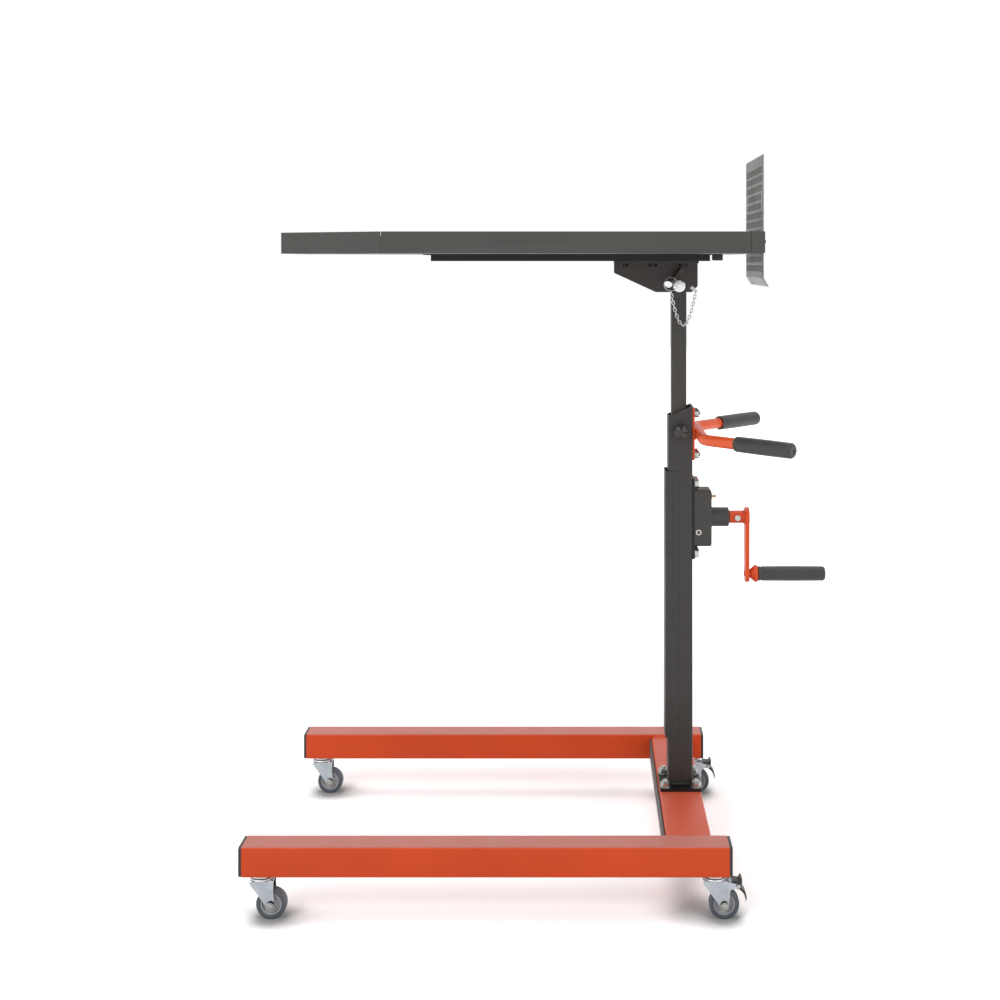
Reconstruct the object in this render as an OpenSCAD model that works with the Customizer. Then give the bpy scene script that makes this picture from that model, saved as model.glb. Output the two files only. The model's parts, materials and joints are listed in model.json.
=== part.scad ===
// Rolling work table: a tray that tilts on top of a crank-raised mast,
// standing on a two-rail base with four casters.
// Seen from the near side: +X to the right, +Y away, +Z up, in millimetres.
// The origin is on the floor, under the middle of the whole table.

/* [Base] */
// Length of each side rail
rail_len = 800; // [600:10:1000]
// Side of the square rail tube
rail_size = 50; // [40:1:60]
// Wall of the rail tube
rail_wall = 2.5; // [2:0.5:4]
// Corner radius of the rail tube
rail_corner = 4; // [3:0.5:6]
// Overall width of the base
base_w = 571; // [480:1:700]
// How far the rails reach past the mast's axis on the crank side
rail_reach = 61; // [55:1:120]
// Thickness of a rail end cap's rim
cap_rim = 5; // [3:0.5:8]
// Width of the crossbeam tube
beam_w = 76; // [74:1:100]
// Height of the crossbeam tube
beam_h = 45; // [36:1:48]
// Thickness of the rubber kick strip
strip_t = 3.5; // [2:0.5:6]
// Height of the rubber kick strip
strip_h = 38; // [20:1:40]

/* [Casters] */
// Height of a caster from the floor to the rail
caster_h = 76; // [74:1:90]
// Wheel diameter
wheel_d = 50; // [44:1:52]
// Wheel width
wheel_w = 18; // [14:1:22]
// Hub diameter, where the tyre sits
hub_d = 36; // [28:1:38]
// How far the wheel trails behind its kingpin
trail = 16; // [12:1:20]
// Diameter of the ball race
race_d = 42; // [38:1:46]
// Kingpin to the end of the rail tube, long end
pin_in_left = 29; // [26:1:60]
// Kingpin to the end of the rail tube, crank end
pin_in_right = 23; // [22:1:28]
// Diameter of the wheel's axle bolt
axle_d = 8; // [6:0.5:10]

/* [Mast] */
// Side of the square post tube
post_size = 45; // [44:1:50]
// Wall of the post tube
post_wall = 2.5; // [2:0.5:3]
// Height of the post's top edge on the crank side
post_top_high = 821; // [818:1:840]
// How much lower the post's top edge is on the tray side
post_slope = 20; // [10:1:30]
// Clamp knob's axis below the post's top edge
knob_down = 47; // [46:1:50]
// Foot plate size along the rails
foot_x = 76; // [72:1:90]
// Foot plate size across the rails
foot_y = 87; // [84:1:110]
// Foot plate thickness
foot_t = 5; // [4:1:8]
// Foot bolt spacing along the rails
foot_bolt_x = 56; // [55:1:60]
// Foot bolt spacing across the rails
foot_bolt_y = 64; // [62:1:80]
// Foot bolt diameter
foot_bolt_d = 10; // [8:1:10]
// Bottom of the cover on the post's tray side
cover_low = 213; // [180:1:260]
// Top of the cover, below the post's top edge
cover_down = 120; // [110:1:170]
// How far the cover stands off the post
cover_stand = 5.5; // [4:0.5:7]

/* [Lift] */
// Side of the square inner tube
tube_size = 28; // [26:1:28]
// Wall of the inner tube
tube_wall = 2; // [1.5:0.5:3]
// Height of the inner tube's foot above the floor
tube_foot_z = 375; // [365:1:380]
// How far the inner tube sits off the post's axis, towards the tray
tube_shift = 2; // [1:0.5:2]
// Module of the rack and the gear
gear_module = 2; // [2:0.5:2]
// Teeth on the gear
gear_teeth = 16; // [16:4:20]
// Face width of the gear
gear_width = 9; // [7:1:10]
// Width of the rack
rack_w = 12; // [10:1:14]
// Pitch radius of the worm
worm_r = 8.5; // [8.5:0.5:9]
// Play cut from each tooth
tooth_play = 0.6; // [0.5:0.05:0.7]

/* [Gearbox] */
// Length of the mounting plate
gear_plate_h = 148; // [144:1:170]
// Thickness of the mounting plate
gear_plate_t = 4; // [3:1:6]
// Housing size away from the post
housing_x = 31; // [30:1:40]
// Housing size across the post
housing_y = 44; // [40:1:60]
// Housing height
housing_h = 104; // [96:1:112]
// Height of the crank shaft
shaft_z = 613; // [600:1:640]
// Length of the shaft boss
boss_len = 33; // [24:1:40]
// Diameter of the shaft boss
boss_d = 35; // [30:1:38]
// Diameter of the crank shaft
shaft_d = 12; // [10:1:12]

/* [Crank] */
// Radius of the crank, from shaft to grip
crank_r = 105; // [80:1:130]
// Hub length from the boss to the arm
hub_len = 29; // [26:1:40]
// Hub diameter
crank_hub_d = 23; // [21:1:28]
// Thickness of the arm
arm_t = 7.5; // [6:0.5:10]
// Length of the conical collar between arm and grip
collar_len = 16; // [12:1:20]
// Crank grip diameter
crank_grip_d = 27; // [24:1:32]
// Crank grip length
crank_grip_len = 125; // [90:1:150]

/* [Handle] */
// Handlebar's axis below the post's top edge
bar_down = 53; // [50:1:60]
// Handlebar tube diameter
bar_d = 20; // [18:1:24]
// Half of the bar's straight run, up to the corner of its bend
bar_half = 99; // [90:1:120]
// Length of each slanted arm, from the corner
bar_arm = 188; // [170:1:210]
// Radius of the bar's bends
bar_bend = 42; // [30:1:50]
// Grip diameter
grip_d = 27; // [25:1:32]
// Grip length
grip_len = 120; // [100:1:135]
// Handle plate height
bar_plate_h = 96; // [90:1:110]
// Handle plate width
bar_plate_w = 38; // [34:1:44]
// Handle plate thickness
bar_plate_t = 4; // [3:0.5:6]

/* [Head] */
// Height of the tilt pivot
pivot_z = 1040; // [1035:1:1060]
// Diameter of the pivot bolt
pivot_d = 12; // [10:1:12]
// Distance from the pivot to the lock pin
lock_up = 30; // [28:1:32]
// Diameter of the lock pin
lock_d = 10; // [8:1:10]
// Thickness of each ear
ear_t = 4; // [3:0.5:5]
// Length of the ears towards the tray's tapered end
ear_left = 119; // [100:1:140]
// Length of the ears towards the crank side
ear_right = 34; // [32:1:40]
// Depth of the ears below the sub-frame, at the pivot
ear_h = 57; // [56:1:64]
// Height of the pan under the tray
pan_h = 13; // [11:1:18]
// Length of the pan
pan_len = 506; // [440:1:560]
// Width of the pan's web
pan_w = 104; // [96:1:120]
// Width of each flange of the pan
pan_flange = 14; // [10:1:20]

/* [Tray] */
// Width of the tray
tray_w = 466; // [380:1:560]
// Length of the tray's straight part
tray_len = 643; // [560:1:700]
// Length of the tapered end
taper_len = 190; // [140:1:240]
// Width of the tray's narrow end
tray_end_w = 254; // [200:1:320]
// Height of the tray's walls
tray_h = 37; // [30:1:50]
// Sheet thickness of the tray
sheet_t = 2; // [1.5:0.5:3]
// Tray's crank side end, measured from the mast's axis
tray_right = 124; // [110:1:140]
// Return flange of the end wall along each long wall
wrap_len = 22; // [15:1:30]

/* [Panel] */
// Plain margin beside the holes
panel_side = 8.5; // [5:0.5:16]
// Pitch of the square holes
hole_pitch = 16; // [16:0.5:16.5]
// Side of a square hole
hole_size = 11; // [8:0.5:12]
// Rows of holes
hole_rows = 12; // [8:1:12]
// Holes in a full row
hole_cols = 14; // [10:1:14]
// Plain margin above the holes
panel_margin = 20; // [10:1:30]
// Gap between the tray's end and the panel
panel_gap = 12; // [8:1:18]
// Height of the panel's lower edge below the tray
panel_drop = 43; // [38:1:50]

/* [Hidden] */

$fn = 48;

orange = [0.80, 0.30, 0.18];
charcoal = [0.28, 0.28, 0.27];
black = [0.12, 0.12, 0.12];
rubber = [0.22, 0.21, 0.20];
tyre_grey = [0.30, 0.32, 0.36];
zinc = [0.78, 0.79, 0.80];
steel = [0.60, 0.61, 0.62];
brass = [0.80, 0.65, 0.30];

// Clearance of a shaft in its bore, on the radius
run_gap = 0.05;
// Clearance where one square part slides in another, on each side
slide_gap = 0.2;
// Clearance of a bolt in a plain hole, on the radius
bolt_gap = 0.25;
// Air left between parts that pass each other
air = 0.3;

// Worked out from the sizes above
rail_y = base_w / 2 - rail_size / 2;
rail_z = caster_h;
rail_right = rail_reach;
rail_left = rail_reach - rail_len;
beam_top = rail_z + beam_h;
beam_len = base_w - 2 * rail_size;
beam_x = -1.5;
foot_top = beam_top + foot_t;
post_half = post_size / 2;
post_in = post_half - post_wall;
post_top_low = post_top_high - post_slope;
cover_high = post_top_high - cover_down;
bar_z = post_top_high - bar_down;
tube_half = tube_size / 2;
tube_x = -tube_shift;
pivot_x = tube_x;
head_z = pivot_z + lock_up + lock_d / 2 + 4;

tooth_pitch = PI * gear_module;
pressure_angle = 20;
// The rack's teeth below and above the gear's middle at rest
rack_teeth_below = 30;
rack_teeth_above = 24;
// How far the housing's middle sits above the shaft
housing_rise = 1;
gear_r = gear_module * gear_teeth / 2;
rack_tip_x = post_in - 0.6;
rack_pitch_x = rack_tip_x - gear_module;
rack_root_x = rack_pitch_x - 1.25 * gear_module;
gear_x = rack_pitch_x + gear_r;
gear_z = shaft_z - gear_r - worm_r;
worm_turns = 3;
worm_len = worm_turns * tooth_pitch;
rack_low = gear_z - rack_teeth_below * tooth_pitch;
rack_teeth = rack_teeth_below + rack_teeth_above;

gear_plate_x = post_half + gear_plate_t;
housing_end = gear_plate_x + housing_x;
boss_end = housing_end + boss_len;
hub_start = boss_end + 1;
arm_x = hub_start + hub_len;
collar_x = arm_x + arm_t;
grip_start = collar_x + collar_len;
grip_end = grip_start + crank_grip_len;
grip_z = shaft_z - crank_r;
plate_low = shaft_z - gear_plate_h / 2;
housing_low = shaft_z - housing_h / 2 + housing_rise;

bar_plate_x = post_half + bar_plate_t;
bar_x = bar_plate_x + bar_d / 2;

pan_up = 46;
pan_bottom = pivot_z + pan_up;
tray_z = pan_bottom + pan_h;
tray_left = tray_right - tray_len;
tray_tip = tray_left - taper_len;
ear_in = tube_half + 0.8;
ear_flange = 27;
ear_flange_t = 4;

panel_x = tray_right + sheet_t + panel_gap;
panel_low = tray_z - panel_drop;
hole_web = hole_pitch - hole_size;
panel_w = hole_cols * hole_pitch - hole_web + 2 * panel_side;
panel_foot = 11.5;
panel_hole_low = panel_low + panel_foot;
panel_top = panel_hole_low + hole_rows * hole_pitch - hole_web + panel_margin;

// Mast axis, measured from the middle of the whole table's length
mast_x = -((rail_left - cap_rim) + grip_end) / 2;

// Helpers

// Everything is drawn about the mast's axis and then set in its place
module at_mast() translate([mast_x, 0, 0]) children();

// Rectangle with round corners, centred
module soft_rect(w, h, r) {
    square([w - 2 * r, h], center = true);
    square([w, h - 2 * r], center = true);
    for (sx = [-1, 1], sy = [-1, 1])
        translate([sx * (w / 2 - r), sy * (h / 2 - r)]) circle(r);
}

// Square tube along Z
module box_tube(w, h, wall, r, len)
    linear_extrude(len) difference() {
        soft_rect(w, h, r);
        soft_rect(w - 2 * wall, h - 2 * wall, max(r - wall, 0.6));
    }

// Turn something drawn along Z so that it runs along X, or along Y
module along_x() rotate([90, 0, 90]) children();
module along_y() rotate([-90, 0, 0]) children();

// Hexagon with its flats af apart
module hex(af, h) cylinder(d = af / cos(30), h = h, $fn = 6);

// Hexagon bolt head on a washer, standing on z = 0 and pointing up
module hex_head(af, head_h) {
    cylinder(r = af * 0.62, h = 1.6);
    translate([0, 0, 1.6]) hex(af, head_h);
}

// Base

module rail(side) color(orange) at_mast()
    difference() {
        translate([rail_left, side * rail_y, rail_z + rail_size / 2]) along_x()
            box_tube(rail_size, rail_size, rail_wall, rail_corner, rail_len);
        for (x = kingpin_xs)
            translate([x, side * rail_y, rail_z - 1])
                cylinder(d = stud_d + 2 * bolt_gap, h = rail_wall + 2);
    }

module near_rail() rail(-1);
module far_rail() rail(1);

module cross_beam() color(orange) at_mast()
    difference() {
        translate([beam_x, -beam_len / 2, rail_z + beam_h / 2]) along_y()
            box_tube(beam_w, beam_h, rail_wall, rail_corner, beam_len);
        for (p = foot_bolt_at)
            translate([p[0], p[1], rail_z - 1])
                cylinder(d = foot_bolt_d + 2 * bolt_gap, h = beam_h + 2);
    }

module kick_strip() color(black) at_mast()
    translate([beam_x - beam_w / 2 - strip_t / 2, -beam_len / 2,
               rail_z + rail_corner + strip_h / 2 - 1]) along_y()
        linear_extrude(beam_len) soft_rect(strip_t, strip_h, strip_t / 2 - 0.1);

module rail_end_caps() color(black) at_mast() {
    plug_w = rail_size - 2 * rail_wall - 0.4;
    plug_len = 12;
    plug_wall = 2.5;
    for (side = [-1, 1], end = [0, 1])
        translate([end == 0 ? rail_left : rail_right, side * rail_y, rail_z + rail_size / 2])
            mirror([end == 0 ? 0 : 1, 0, 0]) {
                translate([-cap_rim, 0, 0]) along_x() linear_extrude(cap_rim)
                    soft_rect(rail_size - 1, rail_size - 1, rail_corner);
                along_x() linear_extrude(plug_len) difference() {
                    soft_rect(plug_w, plug_w, 2);
                    soft_rect(plug_w - 2 * plug_wall, plug_w - 2 * plug_wall, 1);
                }
            }
}

foot_bolt_at = [for (sx = [-1, 1], sy = [-1, 1])
    [sx * foot_bolt_x / 2, sy * foot_bolt_y / 2]];

module foot_plate() color(black) at_mast()
    difference() {
        translate([0, 0, beam_top]) linear_extrude(foot_t) soft_rect(foot_x, foot_y, 3);
        for (p = foot_bolt_at)
            translate([p[0], p[1], beam_top - 1])
                cylinder(d = foot_bolt_d + 2 * bolt_gap, h = foot_t + 2);
    }

module foot_bolts() color(zinc) at_mast() {
    af = foot_bolt_d * 1.6;
    nut_h = foot_bolt_d * 0.8;
    head_h = foot_bolt_d * 0.64;
    stud_over = 4;
    for (p = foot_bolt_at) translate([p[0], p[1], 0]) {
        translate([0, 0, rail_z - head_h]) hex(af, head_h);
        translate([0, 0, rail_z - 1])
            cylinder(d = foot_bolt_d, h = beam_h + foot_t + 1.6 + nut_h + stud_over + 1);
        translate([0, 0, foot_top]) hex_head(af, nut_h);
    }
}

// Post and what is bolted to it

module mast_post() color(charcoal) at_mast()
    difference() {
        translate([0, 0, foot_top])
            box_tube(post_size, post_size, post_wall, 3, post_top_high - foot_top);
        // slanted top
        rotate([90, 0, 0]) linear_extrude(2 * post_size, center = true)
            polygon([[-post_size, post_top_low - post_slope / 2],
                     [post_half, post_top_high],
                     [post_half, post_top_high + post_size],
                     [-post_size, post_top_high + post_size]]);
        // window for the gear
        translate([post_half, 0, gear_z])
            cube([4 * post_wall, gear_width + 4, 2 * gear_window], center = true);
        // clear hole for the clamp screw
        translate([0, -post_half - 1, knob_z]) along_y()
            cylinder(d = screw_d + 2 * bolt_gap, h = post_wall + 2);
        // holes for the bolts of the gearbox and the handle
        for (p = side_bolt_at)
            translate([post_in - 1, p[0], p[1]]) along_x()
                cylinder(d = side_bolt_d + 2 * run_gap, h = post_wall + 2);
    }

gear_window = gear_r + gear_module + 1.5;
screw_d = 8;
knob_z = post_top_high - knob_down;
side_bolt_d = 8;
side_bolt_y = 13;
side_bolt_af = 13;
side_head_h = 5.3;
side_nut_h = 6.5;
gear_bolt_in = 10;
bar_bolt_dz = 38;
gear_bolt_zs = [plate_low + gear_bolt_in, plate_low + gear_plate_h - gear_bolt_in];
bar_bolt_zs = [bar_z - bar_bolt_dz, bar_z + bar_bolt_dz];
side_bolt_at = [for (z = concat(gear_bolt_zs, bar_bolt_zs), s = [-1, 1])
    [s * side_bolt_y, z]];

// Folded sheet over the post's tray side, with a stepped lip on each flank
module mast_cover() color(charcoal) at_mast() {
    t = 1.6;
    step = 1;
    step_x = -16;
    lip_x = -4.5;
    back_x = -post_half - cover_stand;
    side_out = post_half + step + t;
    translate([0, 0, cover_low]) linear_extrude(cover_high - cover_low) {
        translate([back_x, -side_out]) square([t, 2 * side_out]);
        for (s = [0, 1]) mirror([0, s]) {
            translate([back_x, post_half + step]) square([step_x - back_x, t]);
            translate([step_x - t / 2, post_half]) square([t, step + t]);
            translate([step_x, post_half]) square([lip_x - step_x, t]);
        }
    }
}

// Plastic guide in the mouth of the post
module top_bush() color(black) at_mast() {
    bush_h = 38;
    bush_low = post_top_low - bush_h - 3;
    outer = 2 * (post_in - slide_gap / 2);
    difference() {
        translate([0, 0, bush_low]) linear_extrude(bush_h) difference() {
            soft_rect(outer, outer, 1);
            translate([tube_x, 0]) soft_rect(tube_size + 2 * slide_gap, tube_size + 2 * slide_gap, 2.8);
            translate([tube_x, -rack_w / 2 - 0.5]) square([post_size, rack_w + 1]);
        }
        translate([0, -post_size, knob_z]) along_y()
            cylinder(d = screw_d + 2 * bolt_gap, h = post_size);
    }
}

module gearbox_plate() color(black) at_mast()
    difference() {
        translate([post_half, -housing_y / 2, plate_low])
            cube([gear_plate_t, housing_y, gear_plate_h]);
        translate([post_half, 0, gear_z])
            cube([4 * gear_plate_t, gear_width + 4, 2 * gear_window], center = true);
        translate([post_half - 1, 0, shaft_z]) along_x()
            cylinder(r = worm_pocket, h = gear_plate_t + 2);
        for (z = gear_bolt_zs, s = [-1, 1])
            translate([post_half - 1, s * side_bolt_y, z]) along_x()
                cylinder(d = side_bolt_d + 2 * bolt_gap, h = gear_plate_t + 2);
    }

worm_pocket = worm_r + gear_module + 0.7;
gear_pocket = gear_r + gear_module + 1;
axle_pin_d = 10;

// Edge rounding of the casting. The rounded block runs on behind the mounting plate,
// so that only the edges away from it are round.
housing_soft = 5;
housing_back = 6;
worm_room = 1.5;

// Cast housing with round edges, hollow for the gear and the worm
module gearbox_housing() color(charcoal) at_mast()
    difference() {
        intersection() {
            translate([gear_plate_x, 0, housing_low + housing_h / 2]) along_x()
                linear_extrude(housing_x) soft_rect(housing_y, housing_h, housing_soft);
            translate([gear_plate_x + (housing_x - housing_back) / 2, -housing_y / 2,
                        housing_low + housing_h / 2])
                along_y() linear_extrude(housing_y)
                    soft_rect(housing_x + housing_back, housing_h, housing_soft);
        }
        translate([gear_x, -(gear_width / 2 + 1), gear_z]) along_y()
            cylinder(r = gear_pocket, h = gear_width + 2);
        translate([gear_plate_x - 1, 0, shaft_z]) along_x()
            cylinder(r = worm_pocket, h = gear_x + worm_len / 2 + worm_room - gear_plate_x + 1);
        translate([gear_plate_x, 0, shaft_z]) along_x()
            cylinder(d = shaft_d + 2 * run_gap, h = housing_x + 2);
        translate([gear_x, -housing_y, gear_z]) along_y()
            cylinder(d = axle_pin_d + 2 * run_gap, h = 2 * housing_y);
        translate([housing_end - nipple_in, 0, nipple_z]) along_x()
            cylinder(d = nipple_d + 2 * run_gap, h = nipple_in + 1);
    }

nipple_up = 38;
nipple_z = shaft_z + nipple_up;
nipple_af = 8;
nipple_d = 6;
nipple_in = 6;
nipple_base_h = 3.5;
nipple_neck_r = 1.9;
nipple_ball_r = 3;
nipple_nose_h = 6.6;

module gearbox_bolts() color(zinc) at_mast()
    for (z = gear_bolt_zs, s = [-1, 1])
        translate([gear_plate_x, s * side_bolt_y, z]) along_x() {
            shank = gear_plate_t + post_wall - air;
            hex_head(side_bolt_af, side_head_h);
            translate([0, 0, -shank]) cylinder(d = side_bolt_d, h = shank + 1);
        }

module grease_nipple() color(brass) at_mast()
    translate([housing_end, 0, nipple_z]) along_x() {
        translate([0, 0, -nipple_in]) cylinder(d = nipple_d, h = nipple_in + 0.5);
        hex(nipple_af, nipple_base_h);
        translate([0, 0, nipple_base_h]) rotate_extrude()
            polygon([[0, 0], [nipple_ball_r, 0], [nipple_neck_r, 2], [nipple_neck_r, 3.4],
                     [nipple_ball_r, 4.6], [nipple_ball_r - 0.8, nipple_nose_h], [0, nipple_nose_h]]);
    }

module shaft_boss() color(charcoal) at_mast()
    translate([housing_end, 0, shaft_z]) along_x() rotate_extrude() {
        // tube with a fillet where it meets the housing
        fillet = 5;
        bore = shaft_d / 2 + run_gap;
        difference() {
            translate([bore, 0]) square([boss_d / 2 + fillet - bore - 1, fillet]);
            translate([boss_d / 2 + fillet, fillet]) circle(fillet);
        }
        translate([bore, 0]) square([boss_d / 2 - bore, boss_len - 1.5]);
        translate([bore, 0]) square([boss_d / 2 - 1.5 - bore, boss_len]);
        translate([boss_d / 2 - 1.5, boss_len - 1.5]) circle(1.5);
    }

module gear_axle() color(steel) at_mast()
    translate([gear_x, -housing_y / 2 - 1.5, gear_z]) along_y() difference() {
        cylinder(d = axle_pin_d, h = housing_y + 3);
        translate([0, 0, -1]) cylinder(d = axle_centre_d, h = axle_centre_h + 1);
    }

// Drilled centre in the axle's end
axle_centre_d = 6;
axle_centre_h = 3;

module knob_boss() color(charcoal) at_mast()
    translate([0, -post_half, knob_z]) rotate([90, 0, 0]) difference() {
        cylinder(d = knob_boss_d, h = boss_out);
        translate([0, 0, -1]) cylinder(d = screw_d + 2 * run_gap, h = boss_out + 2);
    }

boss_out = 7;
knob_boss_d = 17;

// Six-lobed clamp knob with its screw
module clamp_knob() color(black) at_mast()
    translate([0, -post_half - boss_out - air, knob_z]) rotate([90, 0, 0]) {
        knob_h = 11;
        core_r = 10;
        lobe_r = 3.6;
        lobe_at = 9.1;
        dome_h = 3;
        linear_extrude(knob_h) {
            circle(core_r);
            for (a = [0:60:300]) rotate(a) translate([lobe_at, 0]) circle(lobe_r);
        }
        translate([0, 0, knob_h]) rotate_extrude()
            polygon([[0, 0], [core_r - 1, 0], [core_r - 2, dome_h / 2],
                     [core_r - 4, dome_h - 0.5], [0, dome_h]]);
        screw_len = post_half + boss_out - tube_half;
        translate([0, 0, -screw_len]) cylinder(d = screw_d, h = screw_len + 1);
    }

// Handle

module handle_plate() color(orange) at_mast()
    difference() {
        translate([post_half, 0, bar_z]) along_x()
            linear_extrude(bar_plate_t) soft_rect(bar_plate_w, bar_plate_h, 2);
        for (z = bar_bolt_zs, s = [-1, 1])
            translate([post_half - 1, s * side_bolt_y, z]) along_x()
                cylinder(d = side_bolt_d + 2 * bolt_gap, h = bar_plate_t + 2);
    }

bend_turn = 45;
bend_run = bar_bend * tan(bend_turn / 2);
// The tube is a little thinner round its bends, which run on inside its straights
bend_thin = 0.3;
bend_lap = 3;
bar_wall = 2;
bar_bore_len = 60;

// Half of the handlebar, drawn about its own axis: straight, bend, arm
module bar_half_shape(d, from_tip, len) {
    // a length of the slanted arm, measured back from its tip
    translate([bar_x, bar_half, bar_z]) rotate([0, 0, -bend_turn]) along_y()
        translate([0, 0, bar_arm - from_tip - len]) cylinder(d = d, h = len);
}

module handlebar() color(orange) at_mast()
    difference() {
        union() {
            translate([bar_x, -(bar_half - bend_run), bar_z]) along_y()
                cylinder(d = bar_d, h = 2 * (bar_half - bend_run));
            for (s = [0, 1]) mirror([0, s, 0]) {
                translate([bar_x + bar_bend, bar_half - bend_run, bar_z])
                    rotate([0, 0, 180 - bend_turn - bend_lap])
                        rotate_extrude(angle = bend_turn + 2 * bend_lap)
                            translate([bar_bend, 0]) circle(d = bar_d - bend_thin);
                bar_half_shape(bar_d, 0, bar_arm - bend_run);
            }
        }
        for (s = [0, 1]) mirror([0, s, 0])
            bar_half_shape(bar_d - 2 * bar_wall, -1, bar_bore_len);
    }

module handle_grips() color(rubber) at_mast()
    for (s = [0, 1]) mirror([0, s, 0])
        translate([bar_x, bar_half, bar_z]) rotate([0, 0, -bend_turn]) along_y()
            translate([0, 0, bar_arm + grip_over - grip_len])
                grip_shape(grip_d, grip_len, bar_d, grip_len - grip_over);

// How far a grip reaches past the end of its tube
grip_over = 5;

// Rubber grip along Z with round ends, a bore from its foot and a vent hole
module grip_shape(d, len, bore_d, bore_len) {
    end_r = 5;
    lip_r = 2;
    vent_d = 3;
    difference() {
        rotate_extrude() {
            translate([0, lip_r]) square([d / 2, len - lip_r - end_r]);
            square([d / 2 - lip_r, lip_r + 1]);
            translate([d / 2 - lip_r, lip_r]) circle(lip_r);
            translate([0, len - end_r - 1]) square([d / 2 - end_r, end_r + 1]);
            intersection() {
                translate([d / 2 - end_r, len - end_r]) circle(end_r);
                translate([0, len - end_r]) square([d / 2, end_r]);
            }
        }
        translate([0, 0, -1]) cylinder(d = bore_d + 2 * run_gap, h = bore_len + 1);
        cylinder(d = vent_d, h = len + 1);
    }
}

module handle_bolts() color(zinc) at_mast()
    for (z = bar_bolt_zs, s = [-1, 1])
        translate([bar_plate_x, s * side_bolt_y, z]) along_x() {
            shank = bar_plate_t + post_wall - air;
            stud_out = 3;
            hex_head(side_bolt_af, side_nut_h);
            translate([0, 0, -shank]) cylinder(d = side_bolt_d, h = shank + side_nut_h + stud_out);
        }

// Crank

module crank_shaft() color(steel) at_mast()
    translate([0, 0, shaft_z]) along_x() {
        worm_end = gear_x + worm_len / 2;
        translate([0, 0, worm_end]) cylinder(d = shaft_d, h = arm_x - worm_end);
        translate([0, 0, gear_x - worm_len / 2 - 1])
            cylinder(d = worm_bore, h = worm_len + 2);
    }

worm_bore = 8;
worm_root = worm_r - 1.25 * gear_module;
worm_tip = worm_r + gear_module;

// Radius of the thread's section at an angle from the crest: flat crest, straight
// flanks, flat root. One turn of angle is one pitch along the worm.
function thread_radius(a) =
    let (half_tooth = tooth_pitch / 4 - tooth_play / 2,
         off = abs(a) / 360 * tooth_pitch)
    min(worm_tip, max(worm_root, worm_r + (half_tooth - off) / tan(pressure_angle)));

module worm() color(steel) at_mast()
    translate([gear_x - worm_len / 2, 0, shaft_z]) rotate([0, 90, 0]) difference() {
        linear_extrude(worm_len, twist = -360 * worm_turns, slices = 16 * worm_turns)
            polygon([for (a = [-180:18:162]) thread_radius(a) * [cos(a), sin(a)]]);
        translate([0, 0, -1]) cylinder(d = worm_bore, h = worm_len + 2);
    }

// Arm with a flared hub, round at both ends
module crank_arm() color(orange) at_mast()
    difference() {
        union() {
            translate([hub_start, 0, shaft_z]) along_x() rotate_extrude() {
                flare = 5;
                square([crank_hub_d / 2, hub_len]);
                difference() {
                    square([crank_hub_d / 2 + flare, hub_len]);
                    square([crank_hub_d, hub_len - flare]);
                    translate([crank_hub_d / 2 + flare, hub_len - flare]) circle(flare);
                }
            }
            translate([arm_x, 0, shaft_z]) along_x() linear_extrude(arm_t) {
                circle(arm_top_r);
                translate([0, -crank_r]) circle(arm_end_r);
                polygon([[-arm_top_r + arm_waist, 0], [arm_top_r - arm_waist, 0],
                         [arm_end_r - arm_waist, -crank_r], [arm_waist - arm_end_r, -crank_r]]);
            }
        }
        translate([hub_start - 1, 0, shaft_z]) along_x()
            cylinder(d = shaft_d + 2 * run_gap, h = hub_len + 1);
        translate([arm_x - 1, 0, grip_z]) along_x()
            cylinder(d = spindle_d + 2 * run_gap, h = arm_t + 2);
        translate([hub_bolt_x, -crank_hub_d, shaft_z]) along_y() {
            cylinder(d = hub_bolt_d + 2 * run_gap, h = crank_hub_d - shaft_d / 2 - run_gap);
            cylinder(d = hub_bolt_af * 1.25, h = crank_hub_d / 2 + spot_face);
        }
    }

arm_top_r = 17.5;
arm_end_r = 15.5;
// How much narrower the arm is than its round ends, on each side
arm_waist = 3.5;
spindle_d = 10;
hub_bolt_d = 6;
hub_bolt_af = 10;
// Depth of the flat that the hub bolt's head sits on
spot_face = 0.5;
hub_bolt_x = hub_start + hub_len / 2;
hub_bolt_head = 4.5;

module hub_bolt() color(zinc) at_mast()
    translate([hub_bolt_x, spot_face - crank_hub_d / 2, shaft_z]) rotate([90, 0, 0]) {
        reach = crank_hub_d / 2 - spot_face - shaft_d / 2 - run_gap;
        hex(hub_bolt_af, hub_bolt_head);
        translate([0, 0, -reach]) cylinder(d = hub_bolt_d, h = reach + 1);
    }

// Rivet end, conical collar and the rod that the grip turns on
module grip_spindle() color(orange) at_mast()
    translate([collar_x, 0, grip_z]) along_x() {
        cone_len = collar_len - air;
        neck_r = 7;
        flange_r = 15.5;
        flange_t = 5;
        rivet_out = 1.5;
        end_in = 8;
        rotate_extrude() polygon([[0, 0], [neck_r, 0], [neck_r, 1], [flange_r, cone_len - flange_t],
                                  [flange_r, cone_len - 1], [flange_r - 1, cone_len], [0, cone_len]]);
        translate([0, 0, -arm_t - rivet_out]) cylinder(d = spindle_d, h = arm_t + rivet_out + 1);
        cylinder(d = spindle_d, h = collar_len + crank_grip_len - end_in);
    }

module crank_grip() color(rubber) at_mast()
    translate([grip_start, 0, grip_z]) along_x()
        grip_shape(crank_grip_d, crank_grip_len, spindle_d, crank_grip_len - grip_over - 1);

// Gear and rack

// Involute flank: radius and angle of a point at roll angle u
function flank_r(base, u) = base * sqrt(1 + pow(u * PI / 180, 2));
function flank_a(u) = u - atan(u * PI / 180);

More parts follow.
